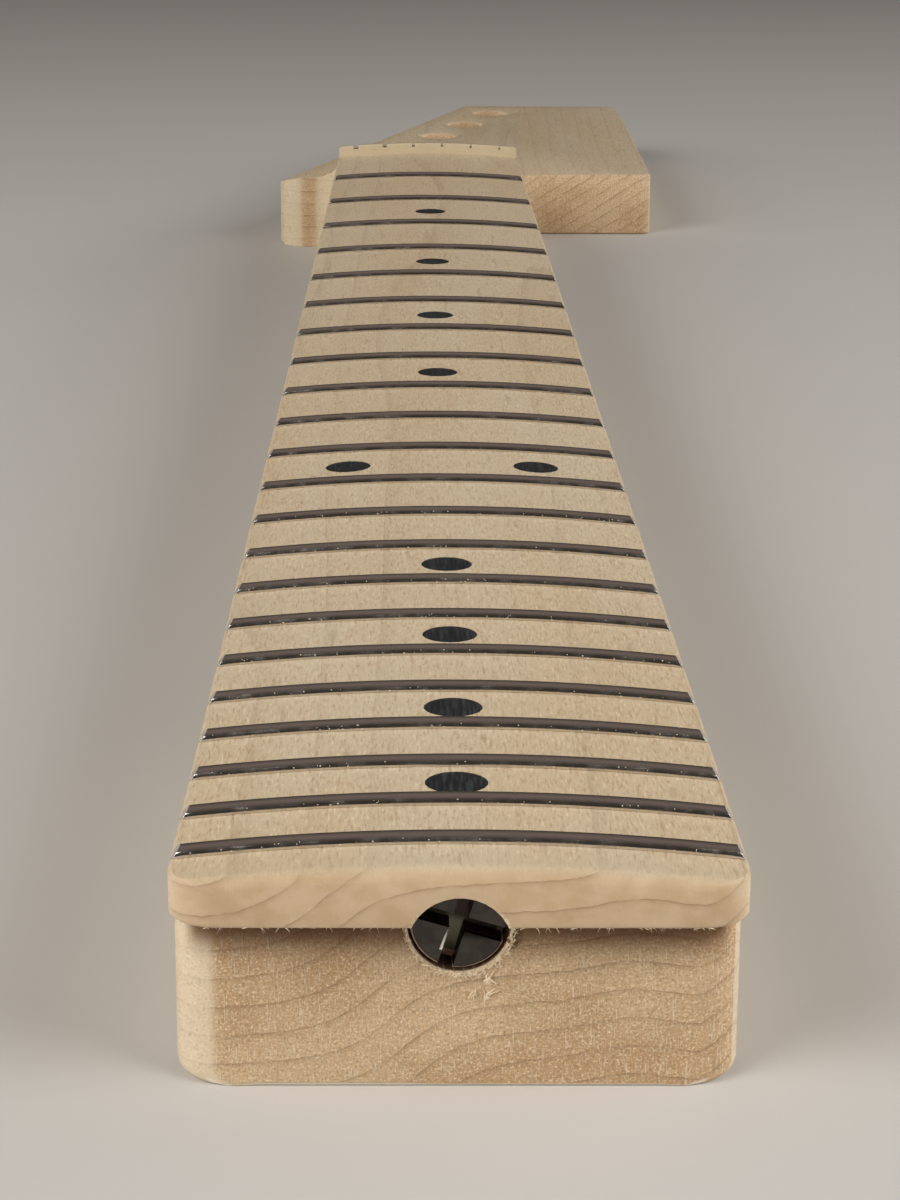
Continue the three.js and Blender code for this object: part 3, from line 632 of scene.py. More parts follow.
def only(piece):
    """Makes one object the selected and active one."""
    bpy.ops.object.select_all(action="DESELECT")
    piece.select_set(True)
    bpy.context.view_layer.objects.active = piece


def merged_copy(node):
    """A copy of a packed solid whose triangles are joined."""
    only(frame["nodes"][node])
    bpy.ops.object.duplicate()
    piece = bpy.context.object
    del piece["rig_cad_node"]
    bpy.ops.object.mode_set(mode="EDIT")
    bpy.ops.mesh.select_all(action="SELECT")
    bpy.ops.mesh.remove_doubles(threshold=MERGE_WITHIN)
    bpy.ops.object.mode_set(mode="OBJECT")
    bpy.ops.mesh.customdata_custom_splitnormals_clear()
    return piece


def pick(piece, kind, test):
    """In edit mode, selects the faces or edges that pass a test, and counts them."""
    bpy.ops.mesh.select_mode(type=kind)
    bpy.ops.mesh.select_all(action="DESELECT")
    mesh = bmesh.from_edit_mesh(piece.data)
    parts = mesh.faces if kind == "FACE" else mesh.edges
    chosen = [part for part in parts if test(part)]
    for part in chosen:
        part.select_set(True)
    bmesh.update_edit_mesh(piece.data)
    return len(chosen)


def seat(piece, name, finish, body, nodes=()):
    """Names a piece, gives it its finish, and lets it ride and stand for its nodes."""
    only(piece)
    bpy.ops.object.transform_apply(location=True, rotation=True, scale=True)
    piece.name = name
    piece.data.name = name
    piece.data.materials.clear()
    piece.data.materials.append(finish)
    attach(piece, body)
    if nodes:
        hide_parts(*nodes)
    return piece


print("nodes to dress:", len(frame["nodes"]))

# %% [markdown]
# Four moves of the bench come back on several pieces: rounded faces are shaded smooth,
# a modifier is made part of the mesh, sharp edges are broken, and a tool's shape is
# taken out of a piece. A Bevel modifier could stay live, but each modifier is applied as
# soon as it is set, so that the pieces stay plain meshes.

# %% Smoothing, breaking edges and carving
BREAK_OVER = math.radians(40)


def smooth(piece, degrees):
    only(piece)
    bpy.ops.object.shade_smooth_by_angle(angle=math.radians(degrees))


def apply_all(piece):
    only(piece)
    for modifier in list(piece.modifiers):
        bpy.ops.object.modifier_apply(modifier=modifier.name)


def break_edges(piece, width):
    """Puts a bevel of that width in mm on every edge that turns by more than 40 degrees."""
    edges = piece.modifiers.new("broken_edges", "BEVEL")
    edges.width = width * MM
    edges.segments = 2
    edges.limit_method = "ANGLE"
    edges.angle_limit = BREAK_OVER
    apply_all(piece)


def carve(piece, cutter, name):
    """Takes the cutter's shape out of a piece and puts the cutter away."""
    cut = piece.modifiers.new(name, "BOOLEAN")
    cut.operation = "DIFFERENCE"
    cut.object = cutter
    apply_all(piece)
    bpy.data.objects.remove(cutter)


print("edges break over", round(math.degrees(BREAK_OVER)), "degrees")

# %% [markdown]
# Everything on a neck is set out from two rules. Frets follow the twelfth root of two,
# so the twelfth halves the string, and the board's top is part of a cylinder whose
# axis runs below the strings. The same two rules place the frets, dots and wood here.

# %% Setting out
SCALE_LENGTH = 648
NUT_Y = 430
HALF_WIDTH_AT_NUT = 21.7
HALF_WIDTH_AT_LAST_FRET = 28.2
FRET_COUNT = 22
CROWN_Z = 25.4
BOARD_R = 241.3


def fret_y(number):
    return NUT_Y - SCALE_LENGTH * (1 - 2 ** (-number / 12))


def half_width(y):
    taper = (NUT_Y - y) / (NUT_Y - fret_y(FRET_COUNT))
    return HALF_WIDTH_AT_NUT + taper * (HALF_WIDTH_AT_LAST_FRET - HALF_WIDTH_AT_NUT)


def board_z(x):
    return CROWN_Z - BOARD_R + math.sqrt(BOARD_R**2 - x**2)


print("fret 12 to nut:", round(NUT_Y - fret_y(12), 1), "mm")

# %% [markdown]
# The neck itself is one piece of maple. Its solid has the right form with sharp edges,
# and a real one has been sanded, so the edges that meet the eye are broken by bevels of
# their own width: the heel's end, the overhang, the bore, and the headstock's outline.
# A bevel on every edge would also round the fret slots, so each group is picked by
# place. These places are in metres, because they are set against the mesh's corners.

# %% Places on the neck
HEEL_END_Y = -38 * MM
OVERHANG_END_Y = -44.2 * MM
OVERHANG_BOTTOM_Z = 19.4 * MM
HEAD_FACE_Z = 15.4 * MM
HEAD_START_Y = 447 * MM
NEAR = 0.02 * MM
NEAR_RIM = 0.1 * MM
SQUARE = 0.9999


def sharp(edge, degrees=35):
    return edge.calc_face_angle(0.0) > math.radians(degrees) and edge.is_convex


def both(part, test):
    """True if every corner of an edge or face passes the test."""
    return all(test(corner.co) for corner in part.verts)


def from_bore(point):
    return math.hypot(point.x, point.z - ROD_AXIS_Z * MM)


def on_bore_rim(point):
    return abs(from_bore(point) - BORE_R * MM) < NEAR_RIM and point.y < HEEL_END_Y + NEAR


def on_heel_end(point):
    return abs(point.y - HEEL_END_Y) < NEAR and point.z < OVERHANG_BOTTOM_Z - NEAR


def on_overhang_edge(point):
    return abs(point.z - OVERHANG_BOTTOM_Z) < NEAR and point.y < HEEL_END_Y - NEAR


def on_head_outline(point):
    flat = min(abs(point.z), abs(point.z - HEAD_FACE_Z)) < NEAR
    return flat and point.y > HEAD_START_Y


def on_back(point):
    return abs(point.z) < NEAR


def is_flat_wood(face):
    """The headstock's face, the flat backs, the heel's end, the overhang's end and underside."""
    over_end = face.calc_center_median().y < HEEL_END_Y
    level = over_end or both(face, on_back) or both(face, on_head_outline)
    return face.normal.y < -SQUARE or (level and abs(face.normal.z) > SQUARE)


print("overhang:", round((HEEL_END_Y - OVERHANG_END_Y) / MM, 1), "mm")

# %% [markdown]
# The solid's board is a row of flats. A Subdivision Surface would pull its edges and
# slots in, so the flats are only cut once more, into strips 2 mm wide, and each of
# their corners is laid on the true arc.

# %% The board's arc
STRIP_WIDTH = 2
STRIPS_A_SIDE = 13
BOARD_START_Y = OVERHANG_END_Y + 0.99 * MM
BOARD_END_Y = 436.6 * MM
FLAT_TO_ARC = 0.06 * MM
UPWARD = 0.95


def on_board(point):
    over_board = BOARD_START_Y < point.y < BOARD_END_Y
    return over_board and abs(point.z - board_z(point.x / MM) * MM) < FLAT_TO_ARC


def round_the_board(piece):
    """Cuts the board's flats into narrow strips and lays their corners on the true arc."""
    for strip in range(-STRIPS_A_SIDE, STRIPS_A_SIDE + 1):
        pick(piece, "FACE", lambda face: face.normal.z > UPWARD and both(face, on_board))
        bpy.ops.mesh.bisect(plane_co=(STRIP_WIDTH * strip * MM, 0, 0), plane_no=(1, 0, 0))
    mesh = bmesh.from_edit_mesh(piece.data)
    for corner in mesh.verts:
        if on_board(corner.co):
            corner.co.z = board_z(corner.co.x / MM) * MM
    bmesh.update_edit_mesh(piece.data)


print("strips:", 2 * STRIPS_A_SIDE, "of", STRIP_WIDTH, "mm")

# %% [markdown]
# A cutter that leaves the bore tears a chip out of its rim. A lumpy ball, its corners
# moved in and out by chance, is carved out of the wood there. Such cuts and fine bevels
# leave triangles with hardly any width, and these are closed up, so that the mesh
# stays clean.

# %% A torn chip and thin triangles
CHIP_PLACE = Vector((5.45, -38.1, 15.95))
CHIP_SIZE = (0.95, 0.7, 1.05)
CHIP_SEED = 5


def tear_a_chip(piece):
    """Takes a shallow torn hollow out of the bore's rim, on the treble side."""
    bpy.ops.mesh.primitive_ico_sphere_add(subdivisions=3, radius=MM, location=(0, 0, 0))
    cutter = bpy.context.object
    random.seed(CHIP_SEED)
    for corner in cutter.data.vertices:
        corner.co *= random.uniform(0.86, 1.08)
        corner.co = [part * size for part, size in zip(corner.co, CHIP_SIZE)]
    cutter.data.transform(Matrix.Translation(CHIP_PLACE * MM))
    carve(piece, cutter, "torn_chip")


def no_slivers():
    """In edit mode, cuts the mesh into triangles and closes up those with no width."""
    bpy.ops.mesh.select_mode(type="FACE")
    bpy.ops.mesh.select_all(action="SELECT")
    bpy.ops.mesh.quads_convert_to_tris(ngon_method="BEAUTY")
    bpy.ops.mesh.select_all(action="SELECT")
    bpy.ops.mesh.dissolve_degenerate(threshold=MERGE_WITHIN)


print("chip at", tuple(CHIP_PLACE), "mm")

# %% [markdown]
# A bevel's corners slide along the edges beside it. Where those are the leftover edges
# of triangles in a flat face, the bevel folds over itself, so the flat faces are made
# whole first. The heel's long lower edge then gets points along it, because a bevel
# that has to squeeze into its round corners would be thin over its whole length.

# %% The maple neck
FLAT_WITHIN = math.radians(0.05)
HEEL_EDGE_CUTS = 30
EDGE_BREAKS = [
    ("bore rim", on_bore_rim, 0.18, 2),
    ("heel end", on_heel_end, 0.45, 3),
    ("overhang", on_overhang_edge, 0.35, 3),
    ("headstock", on_head_outline, 0.7, 3),
]


def break_neck_edges(piece):
    """In edit mode, bevels each group of edges by its width in mm and its segments."""
    pick(piece, "EDGE", lambda edge: both(edge, on_heel_end) and both(edge, on_back))
    bpy.ops.mesh.subdivide(number_cuts=HEEL_EDGE_CUTS)
    for label, test, width, segments in EDGE_BREAKS:
        count = pick(piece, "EDGE", lambda edge, test=test: both(edge, test) and sharp(edge))
        bpy.ops.mesh.bevel(
            offset=width * MM, segments=segments, affect="EDGES",
            clamp_overlap=False, loop_slide=False,
        )
        print(label, "edges broken:", count)


def maple_neck():
    piece = merged_copy("neck")
    bpy.ops.object.mode_set(mode="EDIT")
    round_the_board(piece)
    flats = pick(piece, "FACE", is_flat_wood)
    bpy.ops.mesh.dissolve_limited(angle_limit=FLAT_WITHIN)
    print("flat triangles made whole:", flats)
    break_neck_edges(piece)
    bpy.ops.object.mode_set(mode="OBJECT")
    tear_a_chip(piece)
    only(piece)
    bpy.ops.object.mode_set(mode="EDIT")
    no_slivers()
    bpy.ops.object.mode_set(mode="OBJECT")
    smooth(piece, 38)
    return seat(piece, "maple_neck", maple, "fretted_neck", ["neck"])


neck = maple_neck()
print("neck faces:", len(neck.data.polygons))

# %% [markdown]
# Fret wire is a T: a half-round crown with a tang below it. It is drawn once as a flat
# section: a circle is made as low as the crown and cut in half, and its foot and then
# its tang are pulled down from it. Modelling the long wire at once would need the same
# edits along its whole length.

# %% The fret wire's section
WIRE_HALF_WIDTH = 1.1
WIRE_HEIGHT = 1.0
WIRE_FOOT = 0.15
WIRE_SEAT = 0.05
TANG_HALF_WIDTH = 0.25
TANG_DEPTH = 1.8
SAME_PLACE = 0.001 * MM


def pull_down(depth):
    bpy.ops.mesh.extrude_region_move(TRANSFORM_OT_translate={"value": (0, 0, -depth * MM)})


def is_over_tang(edge, y, foot):
    """True for the part of the foot's edge that the tang is pulled down from."""
    reach = (TANG_HALF_WIDTH + 0.01) * MM
    on_foot = both(edge, lambda point: abs(point.z - foot * MM) < SAME_PLACE)
    return on_foot and both(edge, lambda point: abs(point.y - y * MM) < reach)


def wire_section(y):
    """The T section at the middle of the board, as one face that looks along X."""
    foot = CROWN_Z + WIRE_SEAT
    middle = (0, y * MM, (foot + WIRE_FOOT) * MM)
    bpy.ops.mesh.primitive_circle_add(
        vertices=32, radius=WIRE_HALF_WIDTH * MM, fill_type="NGON",
        location=middle, rotation=(0, math.pi / 2, 0),
    )
    wire = bpy.context.object
    bpy.ops.object.transform_apply(location=True, rotation=True, scale=True)
    bpy.ops.object.mode_set(mode="EDIT")
    bpy.ops.mesh.select_all(action="SELECT")
    dome = (WIRE_HEIGHT - WIRE_FOOT) / WIRE_HALF_WIDTH
    bpy.ops.transform.resize(value=(1, 1, dome), center_override=middle)
    bpy.ops.mesh.bisect(plane_co=middle, plane_no=(0, 0, -1), clear_outer=True)
    pick(wire, "EDGE", lambda edge: both(edge, lambda point: abs(point.z - middle[2]) < SAME_PLACE))
    pull_down(WIRE_FOOT)
    for side in (-1, 1):
        bpy.ops.mesh.select_all(action="SELECT")
        edge_of_tang = (0, (y + side * TANG_HALF_WIDTH) * MM, 0)
        bpy.ops.mesh.bisect(plane_co=edge_of_tang, plane_no=(0, 1, 0))
    pick(wire, "EDGE", lambda edge: is_over_tang(edge, y, foot))
    pull_down(TANG_DEPTH + WIRE_SEAT)
    bpy.ops.object.mode_set(mode="OBJECT")
    return wire


print("wire:", 2 * WIRE_HALF_WIDTH, "mm wide")

# %% [markdown]
# Wire comes off a coil and is bent to the board's radius between wheels. The same move
# works here: the section is turned to one edge of the board and spun to the other
# round the board's own axis, which is exactly a bend to its radius.

# %% Bending the wire
SPIN_STEPS = 26
SPIN_MERGE = 0.0005 * MM


def bent_wire(wire, y, half_length):
    """Turns the section to one edge of the board and spins it to the other."""
    centre = Vector((0, y, CROWN_Z - BOARD_R)) * MM
    half_turn = half_length / BOARD_R
    turned_at_axis = Matrix.Translation(centre) @ Matrix.Rotation(half_turn, 4, "Y")
    wire.data.transform(turned_at_axis @ Matrix.Translation(-centre))
    only(wire)
    bpy.ops.object.mode_set(mode="EDIT")
    bpy.ops.mesh.select_all(action="SELECT")
    bpy.ops.mesh.spin(steps=SPIN_STEPS, angle=2 * half_turn, center=centre, axis=(0, 1, 0))
    bpy.ops.mesh.select_all(action="SELECT")
    bpy.ops.mesh.remove_doubles(threshold=SPIN_MERGE)
    bpy.ops.mesh.normals_make_consistent(inside=False)


print("bend:", BOARD_R, "mm radius in", SPIN_STEPS, "steps")

# %% [markdown]
# The bent wire is pressed into its sawn slot, cut at the board's edges and filed to a
# slant, and the sharp rim that the file leaves is rounded. Bisecting does the cutting
# and filing, because it takes the waste away and closes the cut in one move.

# %% Frets
WIRE_SPARE = 1
TANG_INSET = 0.12
FILE_INSET = 0.2
FILE_SLANT = 0.7
RIM_BREAK = 0.09


def cut_off(point, normal):
    """Cuts the whole mesh by a plane, takes away what lies on its far side and closes it."""
    bpy.ops.mesh.select_all(action="SELECT")
    bpy.ops.mesh.bisect(plane_co=point, plane_no=normal, use_fill=True, clear_outer=True)


def is_filed_rim(part, edge, low_end):
    """True for the sharp edges that the file leaves round the crown's two ends."""
    lowest = (low_end + 0.02) * MM
    above = both(part, lambda point: point.z > lowest and abs(point.x) > (edge - 2) * MM)
    runs_across = abs(part.verts[0].co.y - part.verts[1].co.y) > SAME_PLACE
    return above and sharp(part, 30) and runs_across


def filed_ends(wire, y):
    """Cuts both ends square at the tang, files the crown to a slant and breaks its edge."""
    edge = half_width(y)
    for side in (-1, 1):
        cut_off((side * (edge - TANG_INSET) * MM, 0, 0), (side, 0, 0))
        seat_x = edge - FILE_INSET
        cut_off((side * seat_x * MM, 0, board_z(seat_x) * MM), (side, 0, FILE_SLANT))
    low_end = board_z(edge) + WIRE_SEAT
    pick(wire, "EDGE", lambda part: is_filed_rim(part, edge, low_end))
    bpy.ops.mesh.bevel(offset=RIM_BREAK * MM, segments=3, affect="EDGES", clamp_overlap=True)
    no_slivers()
    bpy.ops.object.mode_set(mode="OBJECT")


def make_fret(number):
    y = fret_y(number)
    wire = wire_section(y)
    bent_wire(wire, y, half_width(y) + WIRE_SPARE)
    filed_ends(wire, y)
    name = f"fret_{number:02d}"
    seat(wire, f"crowned_{name}", fret_wire, "fretted_neck", [name])
    smooth(wire, 32)
    return wire


frets = [make_fret(number) for number in range(1, FRET_COUNT + 1)]
print("frets:", len(frets), "faces each:", len(frets[0].data.polygons))

# %% [markdown]
# A marker dot is a short plug of plastic, glued in and sanded down with the board, so
# its top has the board's curve and no proud rim. A cylinder gives the plug. Its top
# gets inner rings, so that it can follow the curve, and each point drops to the board.

# %% Marker dots on the board
DOT_R = 3.25
DOT_DEPTH = 2.2
DOT_RINGS = (0.06, 0.9, 0.9)
DOT_RIM_DROP = 0.04
OCTAVE_DOT_X = 13.65
SINGLE_DOTS = (3, 5, 7, 9, 15, 17, 19, 21)
OCTAVE = 12


def marker_y(number):
    return (fret_y(number) + fret_y(number - 1)) / 2


def board_dot(name, node, x, number):
    y = marker_y(number)
    bpy.ops.mesh.primitive_cylinder_add(
        vertices=48, radius=DOT_R * MM, depth=DOT_DEPTH * MM, end_fill_type="NGON",
        location=(x * MM, y * MM, (CROWN_Z - DOT_DEPTH / 2) * MM),
    )
    dot = bpy.context.object
    bpy.ops.object.transform_apply(location=True)
    bpy.ops.object.mode_set(mode="EDIT")
    pick(dot, "FACE", lambda face: face.normal.z > 0.5)
    for ring in DOT_RINGS:
        bpy.ops.mesh.inset(thickness=ring * MM)
    bpy.ops.object.mode_set(mode="OBJECT")
    for corner in dot.data.vertices:
        fall = board_z(corner.co.x / MM) - CROWN_Z
        rim = math.hypot(corner.co.x - x * MM, corner.co.y - y * MM) > (DOT_R - 0.01) * MM
        top = corner.co.z > (CROWN_Z - 0.5) * MM
        corner.co.z += (fall - (DOT_RIM_DROP if rim and top else 0)) * MM
    seat(dot, name, dot_plastic, "fretted_neck", [node])
    smooth(dot, 50)
    return dot


dots = [board_dot(f"board_dot_{n:02d}", f"marker_dot_{n:02d}", 0, n) for n in SINGLE_DOTS]
for side, sign in (("bass", -1), ("treble", 1)):
    names = f"board_dot_12_{side}", f"marker_dot_12_{side}"
    dots.append(board_dot(*names, sign * OCTAVE_DOT_X, OCTAVE))
print("board dots:", len(dots))

# %% [markdown]
# The player sees the edge of the board and not its face, so small dots repeat the
# pattern there. They are thin rod, cut flush with the edge.

# %% Side dots
SIDE_DOT_R = 1.0
SIDE_DOT_DEPTH = 2.4
SIDE_DOT_Z = 22.1
SIDE_DOT_BREAK = 0.05
SIDE_OCTAVE_SPREAD = 5


def side_dot(name, node, y):
    bpy.ops.mesh.primitive_cylinder_add(
        vertices=24, radius=SIDE_DOT_R * MM, depth=SIDE_DOT_DEPTH * MM, end_fill_type="NGON",
        location=((SIDE_DOT_DEPTH / 2 - half_width(y)) * MM, y * MM, SIDE_DOT_Z * MM),
        rotation=(0, math.pi / 2, 0),
    )
    dot = bpy.context.object
    bpy.ops.object.mode_set(mode="EDIT")
    bpy.ops.mesh.select_all(action="SELECT")
    bpy.ops.mesh.bevel(offset=SIDE_DOT_BREAK * MM, segments=2, affect="EDGES")
    bpy.ops.object.mode_set(mode="OBJECT")
    seat(dot, name, dot_plastic, "fretted_neck", [node])
    smooth(dot, 50)
    return dot


side_dots = [side_dot(f"edge_dot_{n:02d}", f"side_dot_{n:02d}", marker_y(n)) for n in SINGLE_DOTS]
for side, sign in (("heel_side", -1), ("nut_side", 1)):
    y = marker_y(OCTAVE) + sign * SIDE_OCTAVE_SPREAD
    side_dots.append(side_dot(f"edge_dot_12_{side}", f"side_dot_12_{side}", y))
print("side dots:", len(side_dots))

# %% [markdown]
# The truss-rod nut shows in its bore at the heel, and it is what a player turns. It is
# a round bar, faced and chamfered, drilled from behind for the rod's thread, and cut
# across twice for a cross-headed driver. A real cutter leaves a small rounded edge.

# %% Truss-rod nut
NUT_R = 4.85
NUT_LENGTH = 11.8
NUT_CHAMFER = 0.3
NUT_WEB = 4.6
NUT_THREAD_R = 2.5
NUT_EDGE_BREAK = 0.10
DRIVER_SLOT_WIDTH = 1.5
DRIVER_SLOT_DEPTH = 3


def cut_driver_slot(nut, turn):
    """Cuts one slot across the nut's face, turned round the rod's axis."""
    place = (0, NUT_FACE_Y * MM, ROD_AXIS_Z * MM)
    bpy.ops.mesh.primitive_cube_add(size=1, location=place, rotation=(0, turn, 0))
    cutter = bpy.context.object
    cutter.scale = Vector((DRIVER_SLOT_WIDTH, 2 * DRIVER_SLOT_DEPTH, 4 * NUT_R)) * MM
    carve(nut, cutter, "driver_slot")


def cross_slotted_nut():
    bpy.ops.mesh.primitive_cylinder_add(
        vertices=72, radius=NUT_R * MM, depth=NUT_LENGTH * MM, end_fill_type="NGON",
        location=(0, (NUT_FACE_Y + NUT_LENGTH / 2) * MM, ROD_AXIS_Z * MM),
        rotation=(math.pi / 2, 0, 0),
    )
    nut = bpy.context.object
    bpy.ops.object.transform_apply(location=True, rotation=True)
    bpy.ops.object.mode_set(mode="EDIT")
    pick(nut, "FACE", lambda face: face.normal.y > 0.9)
    bpy.ops.mesh.inset(thickness=(NUT_R - NUT_THREAD_R) * MM)
    drilled = (0, -(NUT_LENGTH - NUT_WEB) * MM, 0)
    bpy.ops.mesh.extrude_region_move(TRANSFORM_OT_translate={"value": drilled})
    front = NUT_FACE_Y * MM
    pick(nut, "EDGE", lambda edge: both(edge, lambda point: abs(point.y - front) < NEAR))
    bpy.ops.mesh.bevel(offset=NUT_CHAMFER * MM, segments=1, affect="EDGES")
    bpy.ops.object.mode_set(mode="OBJECT")
    for quarter in (0, math.pi / 2):
        cut_driver_slot(nut, DRIVER_SLOT_TURN + quarter)
    break_edges(nut, NUT_EDGE_BREAK)
    smooth(nut, 35)
    return seat(nut, "cross_slotted_nut", black_steel, "rod_nut", ["truss_rod_nut"])


rod_nut = cross_slotted_nut()
print("nut faces:", len(rod_nut.data.polygons))

# %% [markdown]
# The remaining parts have the right shape in their solids: the bone nut at the
# headstock, the two walnut inlays and the steel inside. Each gets a merged copy, a
# small edge break where it shows, and its finish.

# %% Bone nut, walnut and inner steel
PLAIN_PARTS = [
    ("string_nut", "slotted_bone_nut", bone, "bone", "fretted_neck", 0.12),
    ("skunk_stripe", "walnut_stripe", walnut, "walnut", "fretted_neck", 0.0),
    ("headstock_plug", "walnut_plug", walnut, "walnut", "fretted_neck", 0.0),
    ("truss_rod", "bowed_rod", turned_steel, "rod_steel", "fretted_neck", 0.0),
    ("truss_rod_anchor", "rod_anchor", turned_steel, "rod_steel", "fretted_neck", 0.15),
    ("truss_rod_washer", "thrust_washer", turned_steel, "rod_steel", "rod_washer", 0.12),
]

for node, name, finish, slot, body, width in PLAIN_PARTS:
    part = merged_copy(node)
    if width:
        break_edges(part, width)
    smooth(part, 38)
    seat(part, name, finish, body, [node])
    print(name, "faces:", len(part.data.polygons))

# %% [markdown]
# Nobody has cleaned this neck since it was worked. Cutters tore pale fibres along the
# overhang's lower edge and round the bore, and polishing left dust against the frets.
# A hair system would be too even, and a picture has no depth. So a curled sliver and a
# grain are modelled and copied, each copy turned and stretched by its own draw.

# %% One fibre and one grain
TORN_PALE = shade(0.960, 0.860, 0.690)
FIBRE_ROOT_R = 0.075
FIBRE_TIP_R = 0.015


def torn_finish():
    finish, shader, place = new_finish("torn_maple_fibre", Metallic=0.0, IOR=1.45)
    mottle = speckle(place, (0.5, 0.5, 0.5), 2.0, 0.6)
    colour = blend(step(mottle, 0.35, 0.65), TORN_PALE, FIBRE_PALE)
    gloss = 0.5 + 0.3 * mottle
    drive(shader, Base_Color=colour, Roughness=gloss, Normal=bumped(mottle, 0.02))
    return finish


def sliver(curl):
    """A fibre 1 mm long along Z, four-sided, tapered, and curled towards X."""
    bpy.ops.mesh.primitive_cone_add(
        vertices=4, radius1=FIBRE_ROOT_R * MM, radius2=FIBRE_TIP_R * MM, depth=MM,
        location=(0, 0, 0.5 * MM),
    )
    fibre = bpy.context.object
    bpy.ops.object.transform_apply(location=True)
    bpy.ops.object.mode_set(mode="EDIT")
    for height in (0.25, 0.5, 0.75):
        bpy.ops.mesh.select_all(action="SELECT")
        bpy.ops.mesh.bisect(plane_co=(0, 0, height * MM), plane_no=(0, 0, 1))
    bpy.ops.object.mode_set(mode="OBJECT")
    for corner in fibre.data.vertices:
        corner.co.x += curl * corner.co.z**2 / MM
    return fibre


def grain():
    """A crumb about 1 mm across, with its corners moved in and out."""
    bpy.ops.mesh.primitive_ico_sphere_add(subdivisions=1, radius=0.5 * MM)
    crumb = bpy.context.object
    for corner in crumb.data.vertices:
        corner.co *= random.uniform(0.7, 1.2)
    return crumb


torn_fibre = torn_finish()
print("fibre nodes:", len(torn_fibre.node_tree.nodes))

# %% [markdown]
# A model is copied to each of its draws, and the copies are joined to one piece, so
# that a few hundred fibres stay one thing to hide, export or throw away.

# %% Strewing copies
def strew(model, draws, name):
    """Copies a model to each (place, direction, width, length) in mm, and joins the copies."""
    bpy.ops.object.select_all(action="DESELECT")
    for place, direction, width, length in draws:
        copy = model.copy()
        copy.data = model.data.copy()
        bpy.context.collection.objects.link(copy)
        turn = Vector(direction).to_track_quat("Z", "Y").to_matrix().to_4x4()
        roll = Matrix.Rotation(random.uniform(0, 2 * math.pi), 4, "Z")
        size = Matrix.Diagonal((width, width, length, 1))
        copy.data.transform(Matrix.Translation(Vector(place) * MM) @ turn @ roll @ size)
        copy.select_set(True)
        bpy.context.view_layer.objects.active = copy
    bpy.data.objects.remove(model)
    bpy.ops.object.join()
    return seat(bpy.context.object, name, torn_fibre, "fretted_neck")


print("strewn pieces ride on the neck, with the finish", torn_fibre.name)

# %% [markdown]
# The fibres lie where a tool left them: round the bore's rim, under the overhang's edge
# and in three tufts on the heel. Their feet stand a hair off the wood, so that no face
# lies in another.

# %% Where the torn fibres lie
FIBRE_FOOT_Y = -38.03
FIBRE_FOOT_Z = 19.42
FIBRE_FOOT_OUT = 0.12
LOWER_RIM = (165, 375, 110, 0.4)
LOW_RIGHT_RIM = (-95, -5, 110, 0.5)
OVERHANG_FIBRES = 110
OVERHANG_FIBRE_X = (5.2, 24.5)
OVERHANG_FIBRE_Y = (-43.95, -43.7)
TUFTS = [(2.85, 11.33), (2.81, 9.73), (1.53, 10.05)]
TUFT_FIBRES = 12


def round_the_bore(start, end, count, reach):
    """Fibres that lie round the bore's rim on the heel's end, from one angle to another."""
    draws = []
    for _ in range(count):
        angle = math.radians(random.uniform(start, end))
        out = BORE_R + FIBRE_FOOT_OUT + random.random() ** 2 * reach
        place = (out * cos(angle), FIBRE_FOOT_Y, ROD_AXIS_Z + out * sin(angle))
        along = random.choice((-1, 1))
        lean = random.uniform(-0.5, 0.9)
        x = along * -sin(angle) + lean * cos(angle)
        z = along * cos(angle) + lean * sin(angle)
        direction = (x, random.uniform(-0.25, 0), z)
        draws.append((place, direction, random.uniform(0.7, 1.6), random.uniform(0.25, 0.7)))
    return draws


def under_the_overhang():
    draws = []
    for _ in range(OVERHANG_FIBRES):
        x = random.choice((-1, 1)) * random.uniform(*OVERHANG_FIBRE_X)
        place = (x, random.uniform(*OVERHANG_FIBRE_Y), FIBRE_FOOT_Z)
        direction = (random.choice((-1, 1)), random.uniform(0.0, 0.3), random.uniform(-0.3, 0.0))
        draws.append((place, direction, random.uniform(0.6, 1.3), random.uniform(0.15, 0.5)))
    return draws


def in_tufts():
    draws = []
    for x, z in TUFTS:
        for _ in range(TUFT_FIBRES):
            foot = x + random.uniform(-0.25, 0.25), FIBRE_FOOT_Y, z + random.uniform(-0.3, 0.3)
            direction = (random.uniform(-1, 1), -0.3, random.uniform(-1, 1))
            draws.append((foot, direction, 1.8, random.uniform(0.25, 0.55)))
    return draws


print("tufts:", len(TUFTS))

# %% [markdown]
# Polishing dust stays where a cloth can't reach, low on the near side of a crown. The
# place of each grain is an angle up the crown, so that it lies on the metal.

# %% Where the dust lies
DUST_COUNT = (14, 40)
DUST_UP_TO = 32
DUST_INSET = 1.5


def beside_a_fret(number):
    """Dust on the lower near side of a fret's crown."""
    draws = []
    for _ in range(random.randint(*DUST_COUNT)):
        x = random.uniform(-1, 1) * (half_width(fret_y(number)) - DUST_INSET)
        angle = math.radians(random.uniform(0, DUST_UP_TO))
        y = fret_y(number) - WIRE_HALF_WIDTH * cos(angle)
        z = board_z(x) + WIRE_SEAT + WIRE_FOOT + (WIRE_HEIGHT - WIRE_FOOT) * sin(angle)
        draws.append(((x, y, z), (0, 0, 1), random.uniform(0.06, 0.20), random.uniform(0.05, 0.16)))
    return draws


print("dust up to", DUST_UP_TO, "degrees up a crown")

# %% [markdown]
# The truss-rod nut passes through the fibres at the bore when it is backed out, so
# those that reach over its path are brushed aside to stand clear of its side. Those
# at the overhang are trimmed at its end, because nothing may stand past the neck.

# %% Torn fibres and dust
LITTER_SEED = 22
CLEAR_OF_NUT = 4.98
FIRST_DUSTY_FRET = 13

